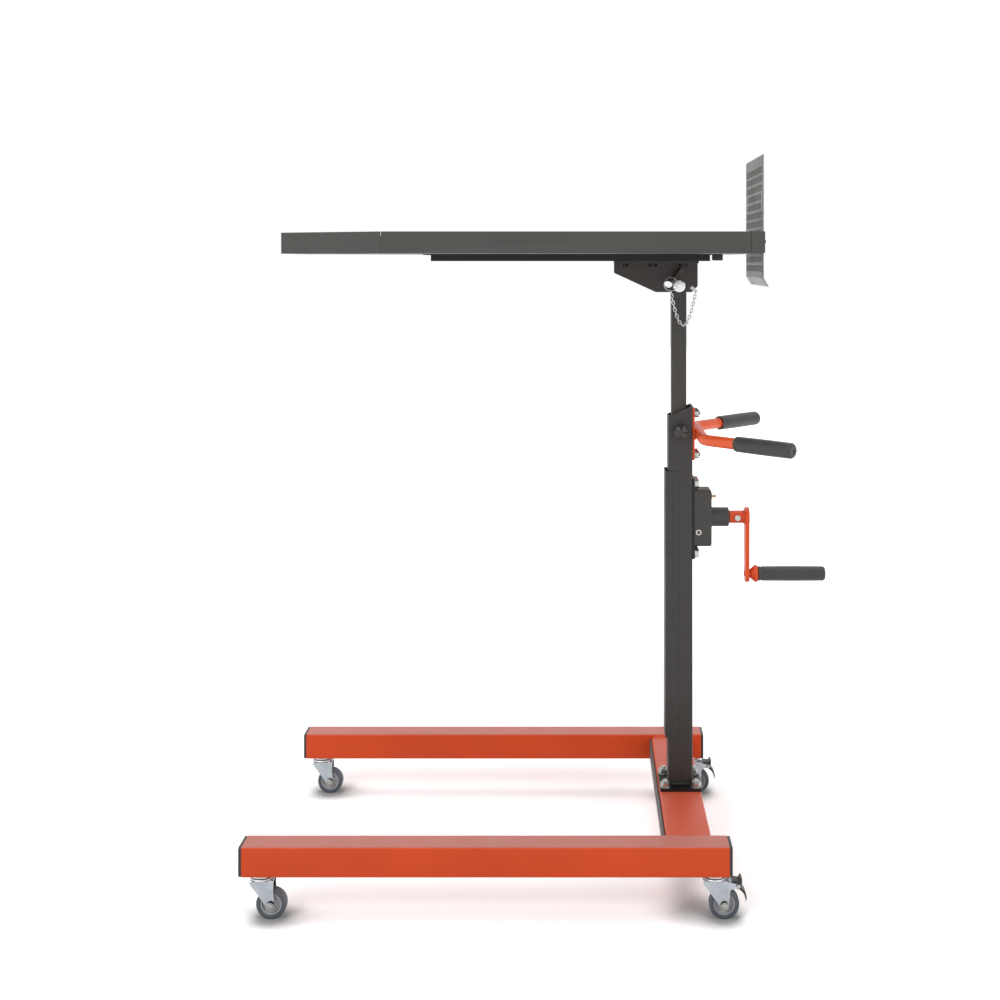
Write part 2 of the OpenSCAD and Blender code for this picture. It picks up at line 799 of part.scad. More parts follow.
module rack_gear() color(steel) at_mast() {
    tip = gear_r + gear_module;
    root = gear_r - 1.25 * gear_module;
    base = gear_r * cos(pressure_angle);
    // half of a tooth's angle at the pitch circle, less the play, and at the base
    half_pitch_a = 90 / gear_teeth - tooth_play / 2 / gear_r * 180 / PI;
    roll_pitch = tan(pressure_angle) * 180 / PI;
    roll_tip = sqrt(pow(tip / base, 2) - 1) * 180 / PI;
    half_base_a = half_pitch_a + flank_a(roll_pitch);
    steps = 4;
    tooth = concat(
        [[root, -half_base_a - 1]],
        [for (i = [0:steps]) let (u = roll_tip * i / steps)
            [flank_r(base, u), flank_a(u) - half_base_a]],
        [for (i = [steps:-1:0]) let (u = roll_tip * i / steps)
            [flank_r(base, u), half_base_a - flank_a(u)]],
        [[root, half_base_a + 1]]);
    translate([gear_x, -gear_width / 2, gear_z]) along_y() difference() {
        linear_extrude(gear_width) polygon([for (k = [0:gear_teeth - 1], p = tooth)
            let (a = p[1] + 360 * k / gear_teeth) p[0] * [cos(a), sin(a)]]);
        translate([0, 0, -1]) cylinder(d = axle_pin_d + 2 * run_gap, h = gear_width + 2);
    }
}

// Rack with straight teeth; a gap faces the gear's tooth at rest
module lift_rack() color(steel) at_mast() {
    half_mid = tooth_pitch / 4 - tooth_play / 2;
    half_tip = half_mid - gear_module * tan(pressure_angle);
    half_root = half_mid + 1.25 * gear_module * tan(pressure_angle);
    back_x = tube_x + tube_half;
    translate([0, rack_w / 2, 0]) rotate([90, 0, 0]) linear_extrude(rack_w) {
        translate([back_x, rack_low])
            square([rack_root_x - back_x, rack_teeth * tooth_pitch]);
        for (k = [0:rack_teeth - 1]) translate([0, rack_low + (k + 0.5) * tooth_pitch])
            polygon([[rack_root_x - 0.5, -half_root], [rack_root_x, -half_root],
                     [rack_tip_x, -half_tip], [rack_tip_x, half_tip],
                     [rack_root_x, half_root], [rack_root_x - 0.5, half_root]]);
    }
}

module inner_tube() color(charcoal) at_mast()
    difference() {
        translate([tube_x, 0, tube_foot_z])
            box_tube(tube_size, tube_size, tube_wall, 3, head_z - tube_foot_z);
        translate([pivot_x, -post_size, pivot_z]) along_y()
            cylinder(d = pivot_d + 2 * run_gap, h = 2 * post_size);
        // arc that the lock pin sweeps when the head tilts, open to the tray side
        translate([pivot_x, post_size, pivot_z]) rotate([90, 0, 0])
            rotate([0, 0, 90]) rotate_extrude(angle = 60)
                translate([lock_up - lock_d / 2 - lock_gap, 0])
                    square([lock_d + 2 * lock_gap, 2 * post_size]);
        translate([pivot_x, -post_size, pivot_z + lock_up]) along_y()
            cylinder(d = lock_d + 2 * lock_gap, h = 2 * post_size);
    }

lock_gap = 0.1;

// Plastic guide on the foot of the inner tube
module foot_bush() color(black) at_mast() {
    plug_h = 22;
    floor_t = 4;
    outer = 2 * (post_in - slide_gap / 2);
    translate([0, 0, tube_foot_z - floor_t]) difference() {
        linear_extrude(plug_h + floor_t) soft_rect(outer, outer, 1);
        translate([tube_x, 0, floor_t]) linear_extrude(plug_h + 1)
            soft_rect(tube_size, tube_size, 3);
    }
}

// Head and tray

// Bolts of an ear's flange: in from its left end, to the next one, and past the pivot
ear_hole_in = 17;
ear_hole_step = 53;
ear_hole_past = 7;
ear_hole_xs = [ear_hole_in - ear_left, ear_hole_in + ear_hole_step - ear_left, ear_hole_past];
ear_hole_y = 30;
ear_hole_at = [for (x = ear_hole_xs) [x, ear_hole_y]];
ear_hole_d = 8;
ear_bolt_af = 13;
chain_hole = [ear_right - 10, -3];
chain_hole_d = 4;
// Depth of an ear's short upright end, and the bevel at its low corner
ear_end_h = 21;
ear_bevel = 11;
ear_slope_x = -43;

// One folded ear: a profile plate with a bolting flange along its top
module ear(side, chain_end) color(charcoal) at_mast() {
    top = pan_bottom - pivot_z;
    low = top - ear_h;
    translate([pivot_x, 0, pivot_z]) mirror([0, side > 0 ? 0 : 1, 0]) difference() {
        union() {
            translate([0, ear_in + ear_t, 0]) rotate([90, 0, 0]) linear_extrude(ear_t)
                polygon([[-ear_left, top], [-ear_left, top - ear_end_h],
                         [-ear_left + 2, top - ear_end_h - 2], [ear_slope_x, low],
                         [ear_right - ear_bevel, low], [ear_right, low + ear_bevel],
                         [ear_right, top]]);
            translate([-ear_left, ear_in, top - ear_flange_t])
                cube([ear_left + ear_right, ear_flange, ear_flange_t]);
        }
        along_y() cylinder(d = pivot_d + 2 * run_gap, h = post_size);
        translate([0, 0, lock_up]) along_y() cylinder(d = lock_d + 2 * run_gap, h = post_size);
        for (p = ear_hole_at) translate([p[0], p[1], top - ear_flange_t - 1])
            cylinder(d = ear_hole_d + 2 * bolt_gap, h = ear_flange_t + 2);
        if (chain_end) translate([chain_hole[0], 0, chain_hole[1]]) along_y()
            cylinder(d = chain_hole_d + 2 * run_gap, h = post_size);
    }
}

module near_ear() ear(-1, true);
module far_ear() ear(1, false);

module ear_bolts() color(black) at_mast()
    for (p = ear_hole_at, s = [-1, 1])
        translate([pivot_x + p[0], s * p[1], pan_bottom - ear_flange_t]) {
            mirror([0, 0, 1]) hex(ear_bolt_af, side_head_h);
            cylinder(d = ear_hole_d, h = ear_flange_t + sheet_t + side_nut_h + 1.5);
            translate([0, 0, ear_flange_t + sheet_t]) hex(ear_bolt_af, side_nut_h);
        }

module pivot_bolt() color(zinc) at_mast()
    translate([pivot_x, 0, pivot_z]) {
        af = pivot_d * 1.5;
        out = ear_in + ear_t;
        washer_t = 2;
        nut_h = 8;
        head_h = 7;
        stud_out = 2;
        reach = washer_t + nut_h + stud_out;
        translate([0, -out - reach, 0]) along_y() cylinder(d = pivot_d, h = 2 * out + reach + 1);
        for (end = [[-1, nut_h], [1, head_h]]) mirror([0, end[0] > 0 ? 0 : 1, 0])
            translate([0, out, 0]) along_y() {
                cylinder(d = pivot_d * 2, h = washer_t);
                translate([0, 0, washer_t]) hex(af, end[1]);
            }
    }

// Crank side end of the pan, and the rubber block beside it
pan_right = 51.5;
buffer_x = 61;
buffer_len = 18;
buffer_w = 24;
buffer_h = 12;

// Pressed pan that stiffens the tray and carries the ears
module tray_pan_support() color(black) at_mast() {
    pan_left = pan_right - pan_len;
    edge = 12;
    difference() {
        union() {
            translate([pan_left, -pan_w / 2, pan_bottom]) cube([pan_len, pan_w, pan_h]);
            translate([pan_left - edge, -pan_w / 2 - pan_flange, tray_z - sheet_t])
                cube([pan_len + edge + sheet_t, pan_w + 2 * pan_flange, sheet_t]);
        }
        translate([pan_left + sheet_t, -pan_w / 2 + sheet_t, pan_bottom + sheet_t])
            cube([pan_len - 2 * sheet_t, pan_w - 2 * sheet_t, pan_h]);
        for (p = ear_hole_at, s = [-1, 1])
            translate([pivot_x + p[0], s * p[1], pan_bottom - 1])
                cylinder(d = ear_hole_d + 2 * bolt_gap, h = sheet_t + 2);
    }
}

// Half of the tray's outline, drawn in from the outside by inset: the corner where
// the taper starts, and the corner at the narrow end
taper_turn = atan2((tray_w - tray_end_w) / 2, taper_len);
function tray_half(inset) =
    [[tray_left + inset * tan(taper_turn / 2), tray_w / 2 - inset],
     [tray_tip + inset, tray_w / 2
        + ((inset - taper_len) * sin(taper_turn) - inset) / cos(taper_turn)]];
function tray_outline(inset, end) = let (half = tray_half(inset))
    [[end, inset - tray_w / 2], [end, tray_w / 2 - inset], half[0], half[1],
     [half[1][0], -half[1][1]], [half[0][0], -half[0][1]]];

// Floor and walls of one folded sheet, slit where the taper starts
module tray_pan() color(charcoal) at_mast()
    translate([0, 0, tray_z]) difference() {
        seam = 0.8;
        linear_extrude(tray_h) polygon(tray_outline(0, tray_right));
        translate([0, 0, sheet_t])
            linear_extrude(tray_h) polygon(tray_outline(sheet_t, tray_right + 1));
        for (s = [-1, 1])
            translate([tray_left, s * tray_w / 2 - sheet_t - 1, sheet_t])
                cube([seam, 2 * sheet_t + 2, tray_h]);
    }

// End wall with a return flange round each corner
module tray_end_wall() color(charcoal) at_mast()
    difference() {
        h = tray_h - 1;
        translate([0, 0, tray_z + 1]) {
            translate([tray_right, -tray_w / 2 - sheet_t, 0])
                cube([sheet_t, tray_w + 2 * sheet_t, h]);
            for (s = [0, 1]) mirror([0, s, 0])
                translate([tray_right + sheet_t - wrap_len, tray_w / 2, 0])
                    cube([wrap_len, sheet_t, h]);
        }
        for (s = [-1, 1]) translate([tray_right - 1, s * spacer_y, spacer_z]) along_x()
            cylinder(d = spacer_screw + 2 * run_gap, h = sheet_t + 2);
    }

module rest_buffer() color(black) at_mast()
    translate([buffer_x, -buffer_w / 2, tray_z - buffer_h]) cube([buffer_len, buffer_w, buffer_h]);

// Panel of square holes with a lip bent outwards along its foot. Two rows are
// two holes shorter, where the side margins stay plain.
module slotted_panel() color(steel) at_mast() {
    t = panel_t;
    lip_out = 9;
    lip_down = 15;
    short_rows = [7, 8];
    difference() {
        union() {
            translate([panel_x, -panel_w / 2, panel_low])
                cube([t, panel_w, panel_top - panel_low]);
            translate([0, panel_w / 2, 0]) rotate([90, 0, 0]) linear_extrude(panel_w)
                polygon([[panel_x, panel_low + 0.6], [panel_x, panel_low],
                         [panel_x + lip_out, panel_low - lip_down],
                         [panel_x + lip_out + t, panel_low - lip_down],
                         [panel_x + t, panel_low], [panel_x + t, panel_low + 0.6]]);
        }
        translate([panel_x - 1, 0, panel_hole_low]) along_x() linear_extrude(t + 2)
            for (row = [0:hole_rows - 1]) {
                inset = len(search(row, short_rows)) > 0 ? 1 : 0;
                cols = hole_cols - 2 * inset;
                for (col = [0:cols - 1])
                    translate([(col - (cols - 1) / 2) * hole_pitch - hole_size / 2,
                               row * hole_pitch])
                        square([hole_size, hole_size]);
            }
    }
}

// Screws with sleeves that hold the panel off the tray's end wall, each through
// the middle of a square hole, with a wide washer on the panel's outer face
module panel_spacers() color(black) at_mast()
    for (s = [-1, 1])
        translate([tray_right, s * spacer_y, spacer_z]) along_x() {
            outer = sheet_t + panel_gap + panel_t;
            mirror([0, 0, 1]) hex_head(spacer_af, 4);
            translate([0, 0, -1]) cylinder(d = spacer_screw, h = outer + 3);
            translate([0, 0, sheet_t]) cylinder(d = sleeve_d, h = panel_gap);
            translate([0, 0, outer]) {
                cylinder(d = sleeve_d, h = panel_washer_t);
                translate([0, 0, panel_washer_t]) hex(spacer_af, 3.5);
            }
        }

panel_t = 1.5;
spacer_screw = 6;
spacer_af = 10;
sleeve_d = 18;
panel_washer_t = 1.6;
spacer_y = (hole_cols / 2 - 1.5) * hole_pitch;
spacer_z = panel_hole_low + 3 * hole_pitch + hole_size / 2;

// Lock pin with its bent, sleeved handle

pin_out = ear_in + ear_t;
pin_collar_t = 3.2;
// Small enough to pass the ear's bolt heads as the pin comes out
pin_collar_d = 12.4;
pin_bend = [0, -pin_out - air - pin_collar_t - 2, 0];
// From the bend to the cap: towards the tray's tip, out to the hand, and down
pin_lean = [-23, -46, -25];
pin_tip = 3.5;
pin_rod_d = 9;
pin_cap_d = 14;
pin_cap_h = 5;
module lock_pin() color(black) at_mast()
    translate([pivot_x, 0, pivot_z + lock_up]) {
        translate(pin_bend) along_y() cylinder(d = lock_d, h = pin_out - pin_bend[1] + pin_tip);
        translate([0, -pin_out - air - pin_collar_t, 0]) along_y()
            cylinder(d = pin_collar_d, h = pin_collar_t);
        translate(pin_bend) sphere(d = lock_d);
        translate(pin_bend) point_along(pin_lean) {
            cylinder(d = pin_rod_d, h = norm(pin_lean));
            translate([0, 0, norm(pin_lean) - pin_cap_h / 2]) cylinder(d = pin_cap_d, h = pin_cap_h);
        }
    }

// Turn +Z to lie along v
module point_along(v)
    rotate([0, acos(v[2] / norm(v)), atan2(v[1], v[0])]) children();

ring_r = 12;
ring_wire = 1.6;
ring_share = 0.8;
ring_on_pin = [pivot_x, 0, pivot_z + lock_up] + pin_bend + ring_share * pin_lean;
ring_drop = 5.6;
ring_centre = ring_on_pin - [0, 0, ring_drop];

module pin_ring() color(zinc) at_mast()
    translate(ring_centre) rotate([90, 0, 0]) rotate_extrude()
        translate([ring_r, 0]) circle(d = ring_wire, $fn = 16);

// Flat eyelet on the near ear's outer face, with the chain's last link in its hole
eyelet_t = 1.2;
eyelet_reach = 9;
eyelet_turn = -45;
eyelet_at = [pivot_x + chain_hole[0], -pin_out - eyelet_t / 2, pivot_z + chain_hole[1]]
    + eyelet_reach * [cos(eyelet_turn), 0, sin(eyelet_turn)];

// Chain that hangs between the ring and the eyelet. The links follow a
// parabola, each set by the same length of chain past the last.
link_wire = 1.4;
link_in = 7;
link_gap = 3;
link_play = 0.3;
chain_sag = 59;
ring_low = ring_centre - [0, 0, ring_r];
chain_span = eyelet_at - ring_low;
start_way = chain_span - [0, 0, 4 * chain_sag];
end_way = chain_span + [0, 0, 4 * chain_sag];
chain_from = ring_low
    + (link_in / 2 - link_play - ring_wire / 2) * start_way / norm(start_way);
chain_to = eyelet_at - (link_in / 2 + link_wire / 2) * end_way / norm(end_way);
chain_way = chain_to - chain_from;
function chain_at(t) = chain_from + t * chain_way - [0, 0, 4 * chain_sag * t * (1 - t)];
function chain_pull(t) = chain_way - [0, 0, 4 * chain_sag * (1 - 2 * t)];

// Length of the curve, added up in short straight pieces
chain_parts = 60;
function chain_run(n) = n == 0 ? 0
    : chain_run(n - 1) + norm(chain_at(n / chain_parts) - chain_at((n - 1) / chain_parts));
chain_len = chain_run(chain_parts);
links = ceil(chain_len / (link_in - link_play / 2));
link_step = chain_len / links;
function chain_ts(t, left) = left < 0 ? [] :
    concat([t], chain_ts(t + link_step / norm(chain_pull(t + link_step / 2 / norm(chain_pull(t)))),
                         left - 1));
// The first link stands across the ring's wire, and each next one across the last
first_turn = 90 + atan2(chain_way[1], chain_way[0]);

// One chain link, long side on Z, flat in the XZ plane
module chain_link() {
    bend = link_gap / 2 + link_wire / 2;
    run = link_in / 2 - link_gap / 2;
    for (s = [0, 1]) mirror([0, 0, s]) translate([0, 0, run]) rotate([90, 0, 0])
        rotate_extrude(angle = 180) translate([bend, 0]) circle(d = link_wire, $fn = 14);
    for (s = [-1, 1]) translate([s * bend, 0, -run]) cylinder(d = link_wire, h = 2 * run, $fn = 14);
}

module safety_chain() color(zinc) at_mast() {
    ts = chain_ts(0, links);
    for (k = [0:links])
        translate(chain_at(ts[k])) point_along(chain_pull(ts[k]))
            rotate([0, 0, first_turn + 90 * k]) chain_link();
    // eyelet and the screw that holds it
    translate([pivot_x + chain_hole[0], -pin_out, pivot_z + chain_hole[1]]) rotate([90, 0, 0]) {
        difference() {
            union() {
                cylinder(r = chain_hole_d, h = eyelet_t);
                rotate(eyelet_turn) translate([0, -2.4, 0]) cube([eyelet_reach, 4.8, eyelet_t]);
                rotate(eyelet_turn) translate([eyelet_reach, 0, 0])
                    cylinder(r = link_wire + 1.8, h = eyelet_t);
            }
            rotate(eyelet_turn) translate([eyelet_reach, 0, -1])
                cylinder(r = link_wire, h = eyelet_t + 2);
        }
        translate([0, 0, eyelet_t]) cylinder(d = 2 * chain_hole_d - 1, h = 2);
        translate([0, 0, -ear_t + air]) cylinder(d = chain_hole_d, h = ear_t + eyelet_t);
    }
}

// Casters

stud_d = 10;
stud_len = 19;
stud_af = 17;
kingpin_xs = [rail_left + pin_in_left, rail_right - pin_in_right];
kingpin_d = 8;
race_h = 9;
race_plate_h = 1.8;
race_lip = 3;
stud_nut_h = 7;
rivet_h = 2;
rivet_head_d = 14;
fork_t = 2.2;
fork_bend = 2;
fork_top_z = caster_h - race_h - air;
fork_plate_z = fork_top_z - fork_t;
leg_in = wheel_w / 2 + 0.8;
axle_z = wheel_d / 2;

// Ball race, mounting stud with its nut, and the rivet that holds each fork
module caster_mounts() color(zinc) at_mast()
    for (x = kingpin_xs, side = [-1, 1]) translate([x, side * rail_y, 0]) {
        translate([0, 0, caster_h - race_plate_h]) cylinder(d = race_d, h = race_plate_h);
        translate([0, 0, caster_h - race_h]) cylinder(d = race_d - 2 * race_lip, h = race_h);
        translate([0, 0, caster_h - 1]) cylinder(d = stud_d, h = stud_len + 1);
        translate([0, 0, caster_h + rail_wall]) hex(stud_af, stud_nut_h);
        translate([0, 0, fork_plate_z - 1]) cylinder(d = kingpin_d, h = fork_t + air + 2);
        translate([0, 0, fork_plate_z - air - rivet_h]) cylinder(d = rivet_head_d, h = rivet_h);
    }

// Brake pedal's pin, measured from the kingpin and from the floor
pedal_x = 38;
pedal_z = 56.5;
pedal_pin_d = 4;

// Points on an arc about c, from one angle to another
function arc_points(c, r, from, to, n) =
    [for (i = [0:n]) let (a = from + (to - from) * i / n) c + r * [cos(a), sin(a)]];

// A fork seen from the side. The legs narrow to a boss round the axle. On the
// crank side they run on into an arm that holds the brake pedal.
boss_r = 6.5;
arm_r = 4;
fork_front = -19;
fork_back = 20.5;
// Where the outline leaves the boss, at its front and back, and the arm's round end
boss_front_turn = 223;
boss_back_turn = 355;
arm_top_turn = 72;
module fork_side(brake) {
    corner = 4;
    fillet = 6;
    shoulder = 20;
    arm_low = pedal_z - arm_r;
    leg_back = trail + boss_r + 2.5;
    polygon(concat(
        arc_points([fork_front + corner, fork_top_z - corner], corner, 90, 180, 4),
        [[fork_front, fork_top_z - corner - 2]],
        arc_points([trail, axle_z], boss_r, boss_front_turn, boss_back_turn, 10),
        brake
            ? concat(arc_points([leg_back + fillet, arm_low - fillet], fillet, 180, 90, 5),
                     arc_points([pedal_x, pedal_z], arm_r, -90, arm_top_turn, 7),
                     [[fork_back, fork_plate_z - fork_bend]])
            : [[fork_back, fork_top_z - shoulder], [fork_back, fork_plate_z - fork_bend]],
        [[fork_back, fork_top_z]]));
}

// Pressed fork: a channel of sheet with round shoulders, cut to that outline,
// under a round plate
module fork(x, side, brake) color(zinc) at_mast()
    translate([x, side * rail_y, 0]) {
        half = leg_in + fork_t;
        difference() {
            union() {
                intersection() {
                    translate([fork_front, 0, 0]) along_x()
                        linear_extrude(pedal_x + arm_r - fork_front) difference() {
                            soft_rect(2 * half, 2 * fork_top_z, fork_bend + fork_t);
                            soft_rect(2 * leg_in, 2 * fork_plate_z, fork_bend);
                        }
                    rotate([90, 0, 0]) linear_extrude(2 * half, center = true) fork_side(brake);
                }
                translate([0, 0, fork_plate_z]) cylinder(d = race_d - 2, h = fork_t);
            }
            translate([0, 0, fork_plate_z - 1])
                cylinder(d = kingpin_d + 2 * run_gap, h = fork_t + 2);
            translate([trail, -half - 1, axle_z]) along_y()
                cylinder(d = axle_d + 2 * run_gap, h = 2 * half + 2);
        }
        // axle bolt with its nut
        bolt_out = 5;
        bolt_head = bolt_out - 0.4;
        translate([trail, -half - bolt_out, axle_z]) along_y() {
            cylinder(d = axle_d, h = 2 * (half + bolt_out));
            cylinder(d = axle_d + 4, h = bolt_head);
            translate([0, 0, 2 * (half + bolt_out) - bolt_head]) hex(axle_d + 4, bolt_head);
        }
        if (brake) translate([pedal_x, -half - 1, pedal_z]) along_y()
            cylinder(d = pedal_pin_d, h = 2 * (half + 1));
    }

module fork_left_near() fork(kingpin_xs[0], -1, false);
module fork_left_far() fork(kingpin_xs[0], 1, false);
module fork_right_near() fork(kingpin_xs[1], -1, true);
module fork_right_far() fork(kingpin_xs[1], 1, true);

module at_wheel(x, side)
    translate([x + trail, side * rail_y, wheel_d / 2]) rotate([90, 0, 0]) children();

// Moulded hub: bore, thin web and a rim for the tyre
module wheel(x, side) color([0.66, 0.67, 0.68]) at_mast() at_wheel(x, side)
    rotate_extrude() {
        half = wheel_w / 2;
        bore = axle_d / 2 + run_gap;
        translate([bore, -half]) square([3.5, wheel_w]);
        translate([bore, -2.5]) square([hub_d / 2 - bore, 5]);
        translate([hub_d / 2 - 4, 1.5 - half]) square([4, wheel_w - 3]);
    }

module wheel_left_near() wheel(kingpin_xs[0], -1);
module wheel_left_far() wheel(kingpin_xs[0], 1);
module wheel_right_near() wheel(kingpin_xs[1], -1);
module wheel_right_far() wheel(kingpin_xs[1], 1);

// Tyre with a flat tread and round shoulders
module tyre(x, side) color(tyre_grey) at_mast() at_wheel(x, side)
    rotate_extrude() {
        shoulder = 3.5;
        half = wheel_w / 2;
        translate([hub_d / 2, -half]) square([wheel_d / 2 - hub_d / 2 - shoulder, wheel_w]);
        translate([hub_d / 2, shoulder - half]) square([wheel_d / 2 - hub_d / 2, wheel_w - 2 * shoulder]);
        for (s = [-1, 1]) translate([wheel_d / 2 - shoulder, s * (half - shoulder)]) circle(shoulder);
    }

module tyre_left_near() tyre(kingpin_xs[0], -1);
module tyre_left_far() tyre(kingpin_xs[0], 1);
module tyre_right_near() tyre(kingpin_xs[1], -1);
module tyre_right_far() tyre(kingpin_xs[1], 1);

// Pad of the pedal, seen from the side and measured from its pin: the thin tip under
// the rail, and the end that turns up
pad_tip = -10;
pad_low = 6;
pad_t = 2.5;
pad_end = 7;
pad_top = 12;
// The claw lies between two arcs that close up towards its point
claw_out_at = [-6, -20];
claw_out_r = 20.5;
claw_in_at = [-10, -26];
claw_in_r = 23.5;
claw_from = 62;
claw_to = -18;

// Brake pedal on its pin: a pad with an upturned end, and a curved claw below it
// that a toe lifts to let go
module pedal(side) color(black) at_mast()
    translate([kingpin_xs[1] + pedal_x, side * rail_y, pedal_z]) rotate([90, 0, 0]) difference() {
        union() {
            slab() circle(arm_r + 0.4);
            slab() polygon([[-4, 0], [pad_tip, pad_low], [pad_tip, pad_low + pad_t], [1.5, pad_low + 0.8],
                            [pad_end - 2, pad_top], [pad_end, pad_top - 0.5], [pad_end, 4], [4.2, -1]]);
            slab() polygon(concat(arc_points(claw_out_at, claw_out_r, claw_from, claw_to, 10),
                                  arc_points(claw_in_at, claw_in_r, -1, claw_from, 10)));
        }
        cylinder(d = pedal_pin_d + 2 * run_gap, h = 4 * leg_in, center = true);
    }

module slab() linear_extrude(2 * (leg_in - air), center = true) children();

module pedal_near() pedal(-1);
module pedal_far() pedal(1);

near_rail();
far_rail();
cross_beam();
kick_strip();
rail_end_caps();
foot_plate();
mast_post();
mast_cover();
foot_bolts();
top_bush();
gearbox_plate();
gearbox_housing();
gearbox_bolts();
grease_nipple();
shaft_boss();
gear_axle();
knob_boss();
handle_plate();
handlebar();
handle_grips();
handle_bolts();
caster_mounts();
crank_shaft();
worm();
crank_arm();
hub_bolt();
grip_spindle();
crank_grip();
rack_gear();
clamp_knob();
inner_tube();
lift_rack();
foot_bush();
tray_pan();
tray_end_wall();
tray_pan_support();
near_ear();
far_ear();
ear_bolts();
pivot_bolt();
rest_buffer();
slotted_panel();
panel_spacers();
safety_chain();
lock_pin();
pin_ring();
fork_left_near();
fork_left_far();
fork_right_near();
fork_right_far();
wheel_left_near();
wheel_left_far();
wheel_right_near();
wheel_right_far();
tyre_left_near();
tyre_left_far();
tyre_right_near();
tyre_right_far();
pedal_near();
pedal_far();
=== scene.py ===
# %% [markdown]
# # A rolling work table, dressed for its portrait
#
# The engineering model gives every piece at its real size. This lesson gives the same
# pieces their surfaces: powder coat with a fine grain, bright zinc bolts with real
# threads, rubber grips, a pressed caster fork, welds, and a chain that hangs. Every
# length is in metres. +X points from the tray's tapered end to the crank, +Y away from
# the camera, +Z up, and z = 0 is the floor.

# %% Load the model
import json
import bmesh
import bpy
import numpy as np
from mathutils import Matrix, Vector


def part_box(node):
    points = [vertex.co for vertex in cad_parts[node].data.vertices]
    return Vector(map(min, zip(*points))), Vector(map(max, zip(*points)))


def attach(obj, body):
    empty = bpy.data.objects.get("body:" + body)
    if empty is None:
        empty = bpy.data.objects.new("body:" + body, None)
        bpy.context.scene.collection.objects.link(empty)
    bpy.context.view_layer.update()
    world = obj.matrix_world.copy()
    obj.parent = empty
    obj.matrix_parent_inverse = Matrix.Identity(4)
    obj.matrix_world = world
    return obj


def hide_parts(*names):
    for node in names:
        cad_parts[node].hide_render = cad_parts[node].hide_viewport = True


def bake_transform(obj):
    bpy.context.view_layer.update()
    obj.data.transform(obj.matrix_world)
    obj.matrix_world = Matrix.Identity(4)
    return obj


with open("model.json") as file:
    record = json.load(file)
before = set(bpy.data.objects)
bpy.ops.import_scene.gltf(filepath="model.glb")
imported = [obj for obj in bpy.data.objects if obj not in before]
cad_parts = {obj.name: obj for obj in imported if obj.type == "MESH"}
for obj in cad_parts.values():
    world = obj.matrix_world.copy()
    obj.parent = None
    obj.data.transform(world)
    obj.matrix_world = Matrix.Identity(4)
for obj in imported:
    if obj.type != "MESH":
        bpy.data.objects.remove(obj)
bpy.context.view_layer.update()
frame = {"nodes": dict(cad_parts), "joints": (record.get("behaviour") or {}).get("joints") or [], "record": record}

# %% [markdown]
# Everything is placed from a handful of places that the model itself gives: the middle
# of the mast, the rails, the casters. Reading them from the pieces' boxes, and not
# typing them again, keeps the dressing in step with the model.

# %% Places on the model
MM = 0.001
CORNERS = [end + "_" + side for end in ("left", "right") for side in ("near", "far")]
SIGNS = [(x, y) for x in (-1, 1) for y in (-1, 1)]


def ends(node):
    """The lowest and the highest corner of a node's box."""
    return [np.array(corner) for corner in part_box(node)]


def lowest(node):
    return ends(node)[0]


def highest(node):
    return ends(node)[1]


def middle(node):
    """The centre of a node's box."""
    return (lowest(node) + highest(node)) / 2


def size_of(node):
    return highest(node) - lowest(node)


joint_at = {joint["name"]: np.array(joint["pos_m"], float) for joint in frame["joints"]
            if "pos_m" in joint}
mast_x = float(middle("foot_plate")[0])
print("the mast stands at x =", round(mast_x, 4))

# %% [markdown]
# The portrait is taken level, from 2.47 m in front of the mast. The picture was cropped
# from a wider one, so the point straight ahead of the lens is right of and above the
# middle. A shifted lens does the same and keeps the post upright, where tilting the
# camera would make it lean.

# %% Camera
camera_data = bpy.data.cameras.new("portrait_camera")
camera = bpy.data.objects.new("portrait_camera", camera_data)
bpy.context.scene.collection.objects.link(camera)
camera_data.sensor_width = 36
camera_data.lens = 48
camera_data.shift_x = -0.08
camera_data.shift_y = -0.24
ASIDE, BACK, EYE_LEVEL = 0.1842, 2.4675, 1.088
camera.location = (mast_x - ASIDE, -BACK, EYE_LEVEL)
camera.rotation_euler = (np.pi / 2, 0, 0)
bpy.context.scene.camera = camera

# %% [markdown]
# A studio sweep is white in the picture, yet keeps a soft shadow under the casters. The
# floor here is a matt grey that the lamps lift to just under white, and it glows more
# and more with its distance from the table, only to the camera and in reflections, so
# it never lights the table from below. Close under a rail or a wheel an occlusion mask
# darkens the colour of both the paper and its glow: a painted contact shadow, added to
# the shadow that the lamps cast.

# %% Node helper and stage
def node(tree, kind, settings=None, **inputs):
    """Adds a shader node. A value that is a socket is linked, any other is written in."""
    made = tree.nodes.new("ShaderNode" + kind)
    for name, value in (settings or {}).items():
        setattr(made, name, value)
    for name, value in inputs.items():
        key = int(name[1:]) if name[0] == "i" and name[1:].isdigit() else name.replace("_", " ")
        socket = made.inputs[key]
        if isinstance(value, bpy.types.NodeSocket):
            tree.links.new(value, socket)
        else:
            socket.default_value = value
    return made


def blank_material(name):
    """A material without nodes, its tree, and the place on the object that textures read."""
    material = bpy.data.materials.new(name)
    material.use_nodes = True
    tree = material.node_tree
    tree.nodes.clear()
    return material, tree, node(tree, "TexCoord").outputs["Object"]


def maths(tree, kind, first, second):
    return node(tree, "Math", {"operation": kind}, i0=first, i1=second).outputs[0]


def spread(tree, value, low, high, start=0.3, end=0.7, shape="LINEAR"):
    """Maps start..end of a value on to low..high."""
    return node(tree, "MapRange", {"interpolation_type": shape}, Value=value, From_Min=start,
                From_Max=end, To_Min=low, To_Max=high).outputs["Result"]


def seen_directly(tree):
    """1 for a ray from the camera, or one that glances off metal or passes glass."""
    path = node(tree, "LightPath").outputs
    glance = maths(tree, "MAXIMUM", path["Is Glossy Ray"], path["Is Transmission Ray"])
    return maths(tree, "MAXIMUM", path["Is Camera Ray"], glance)


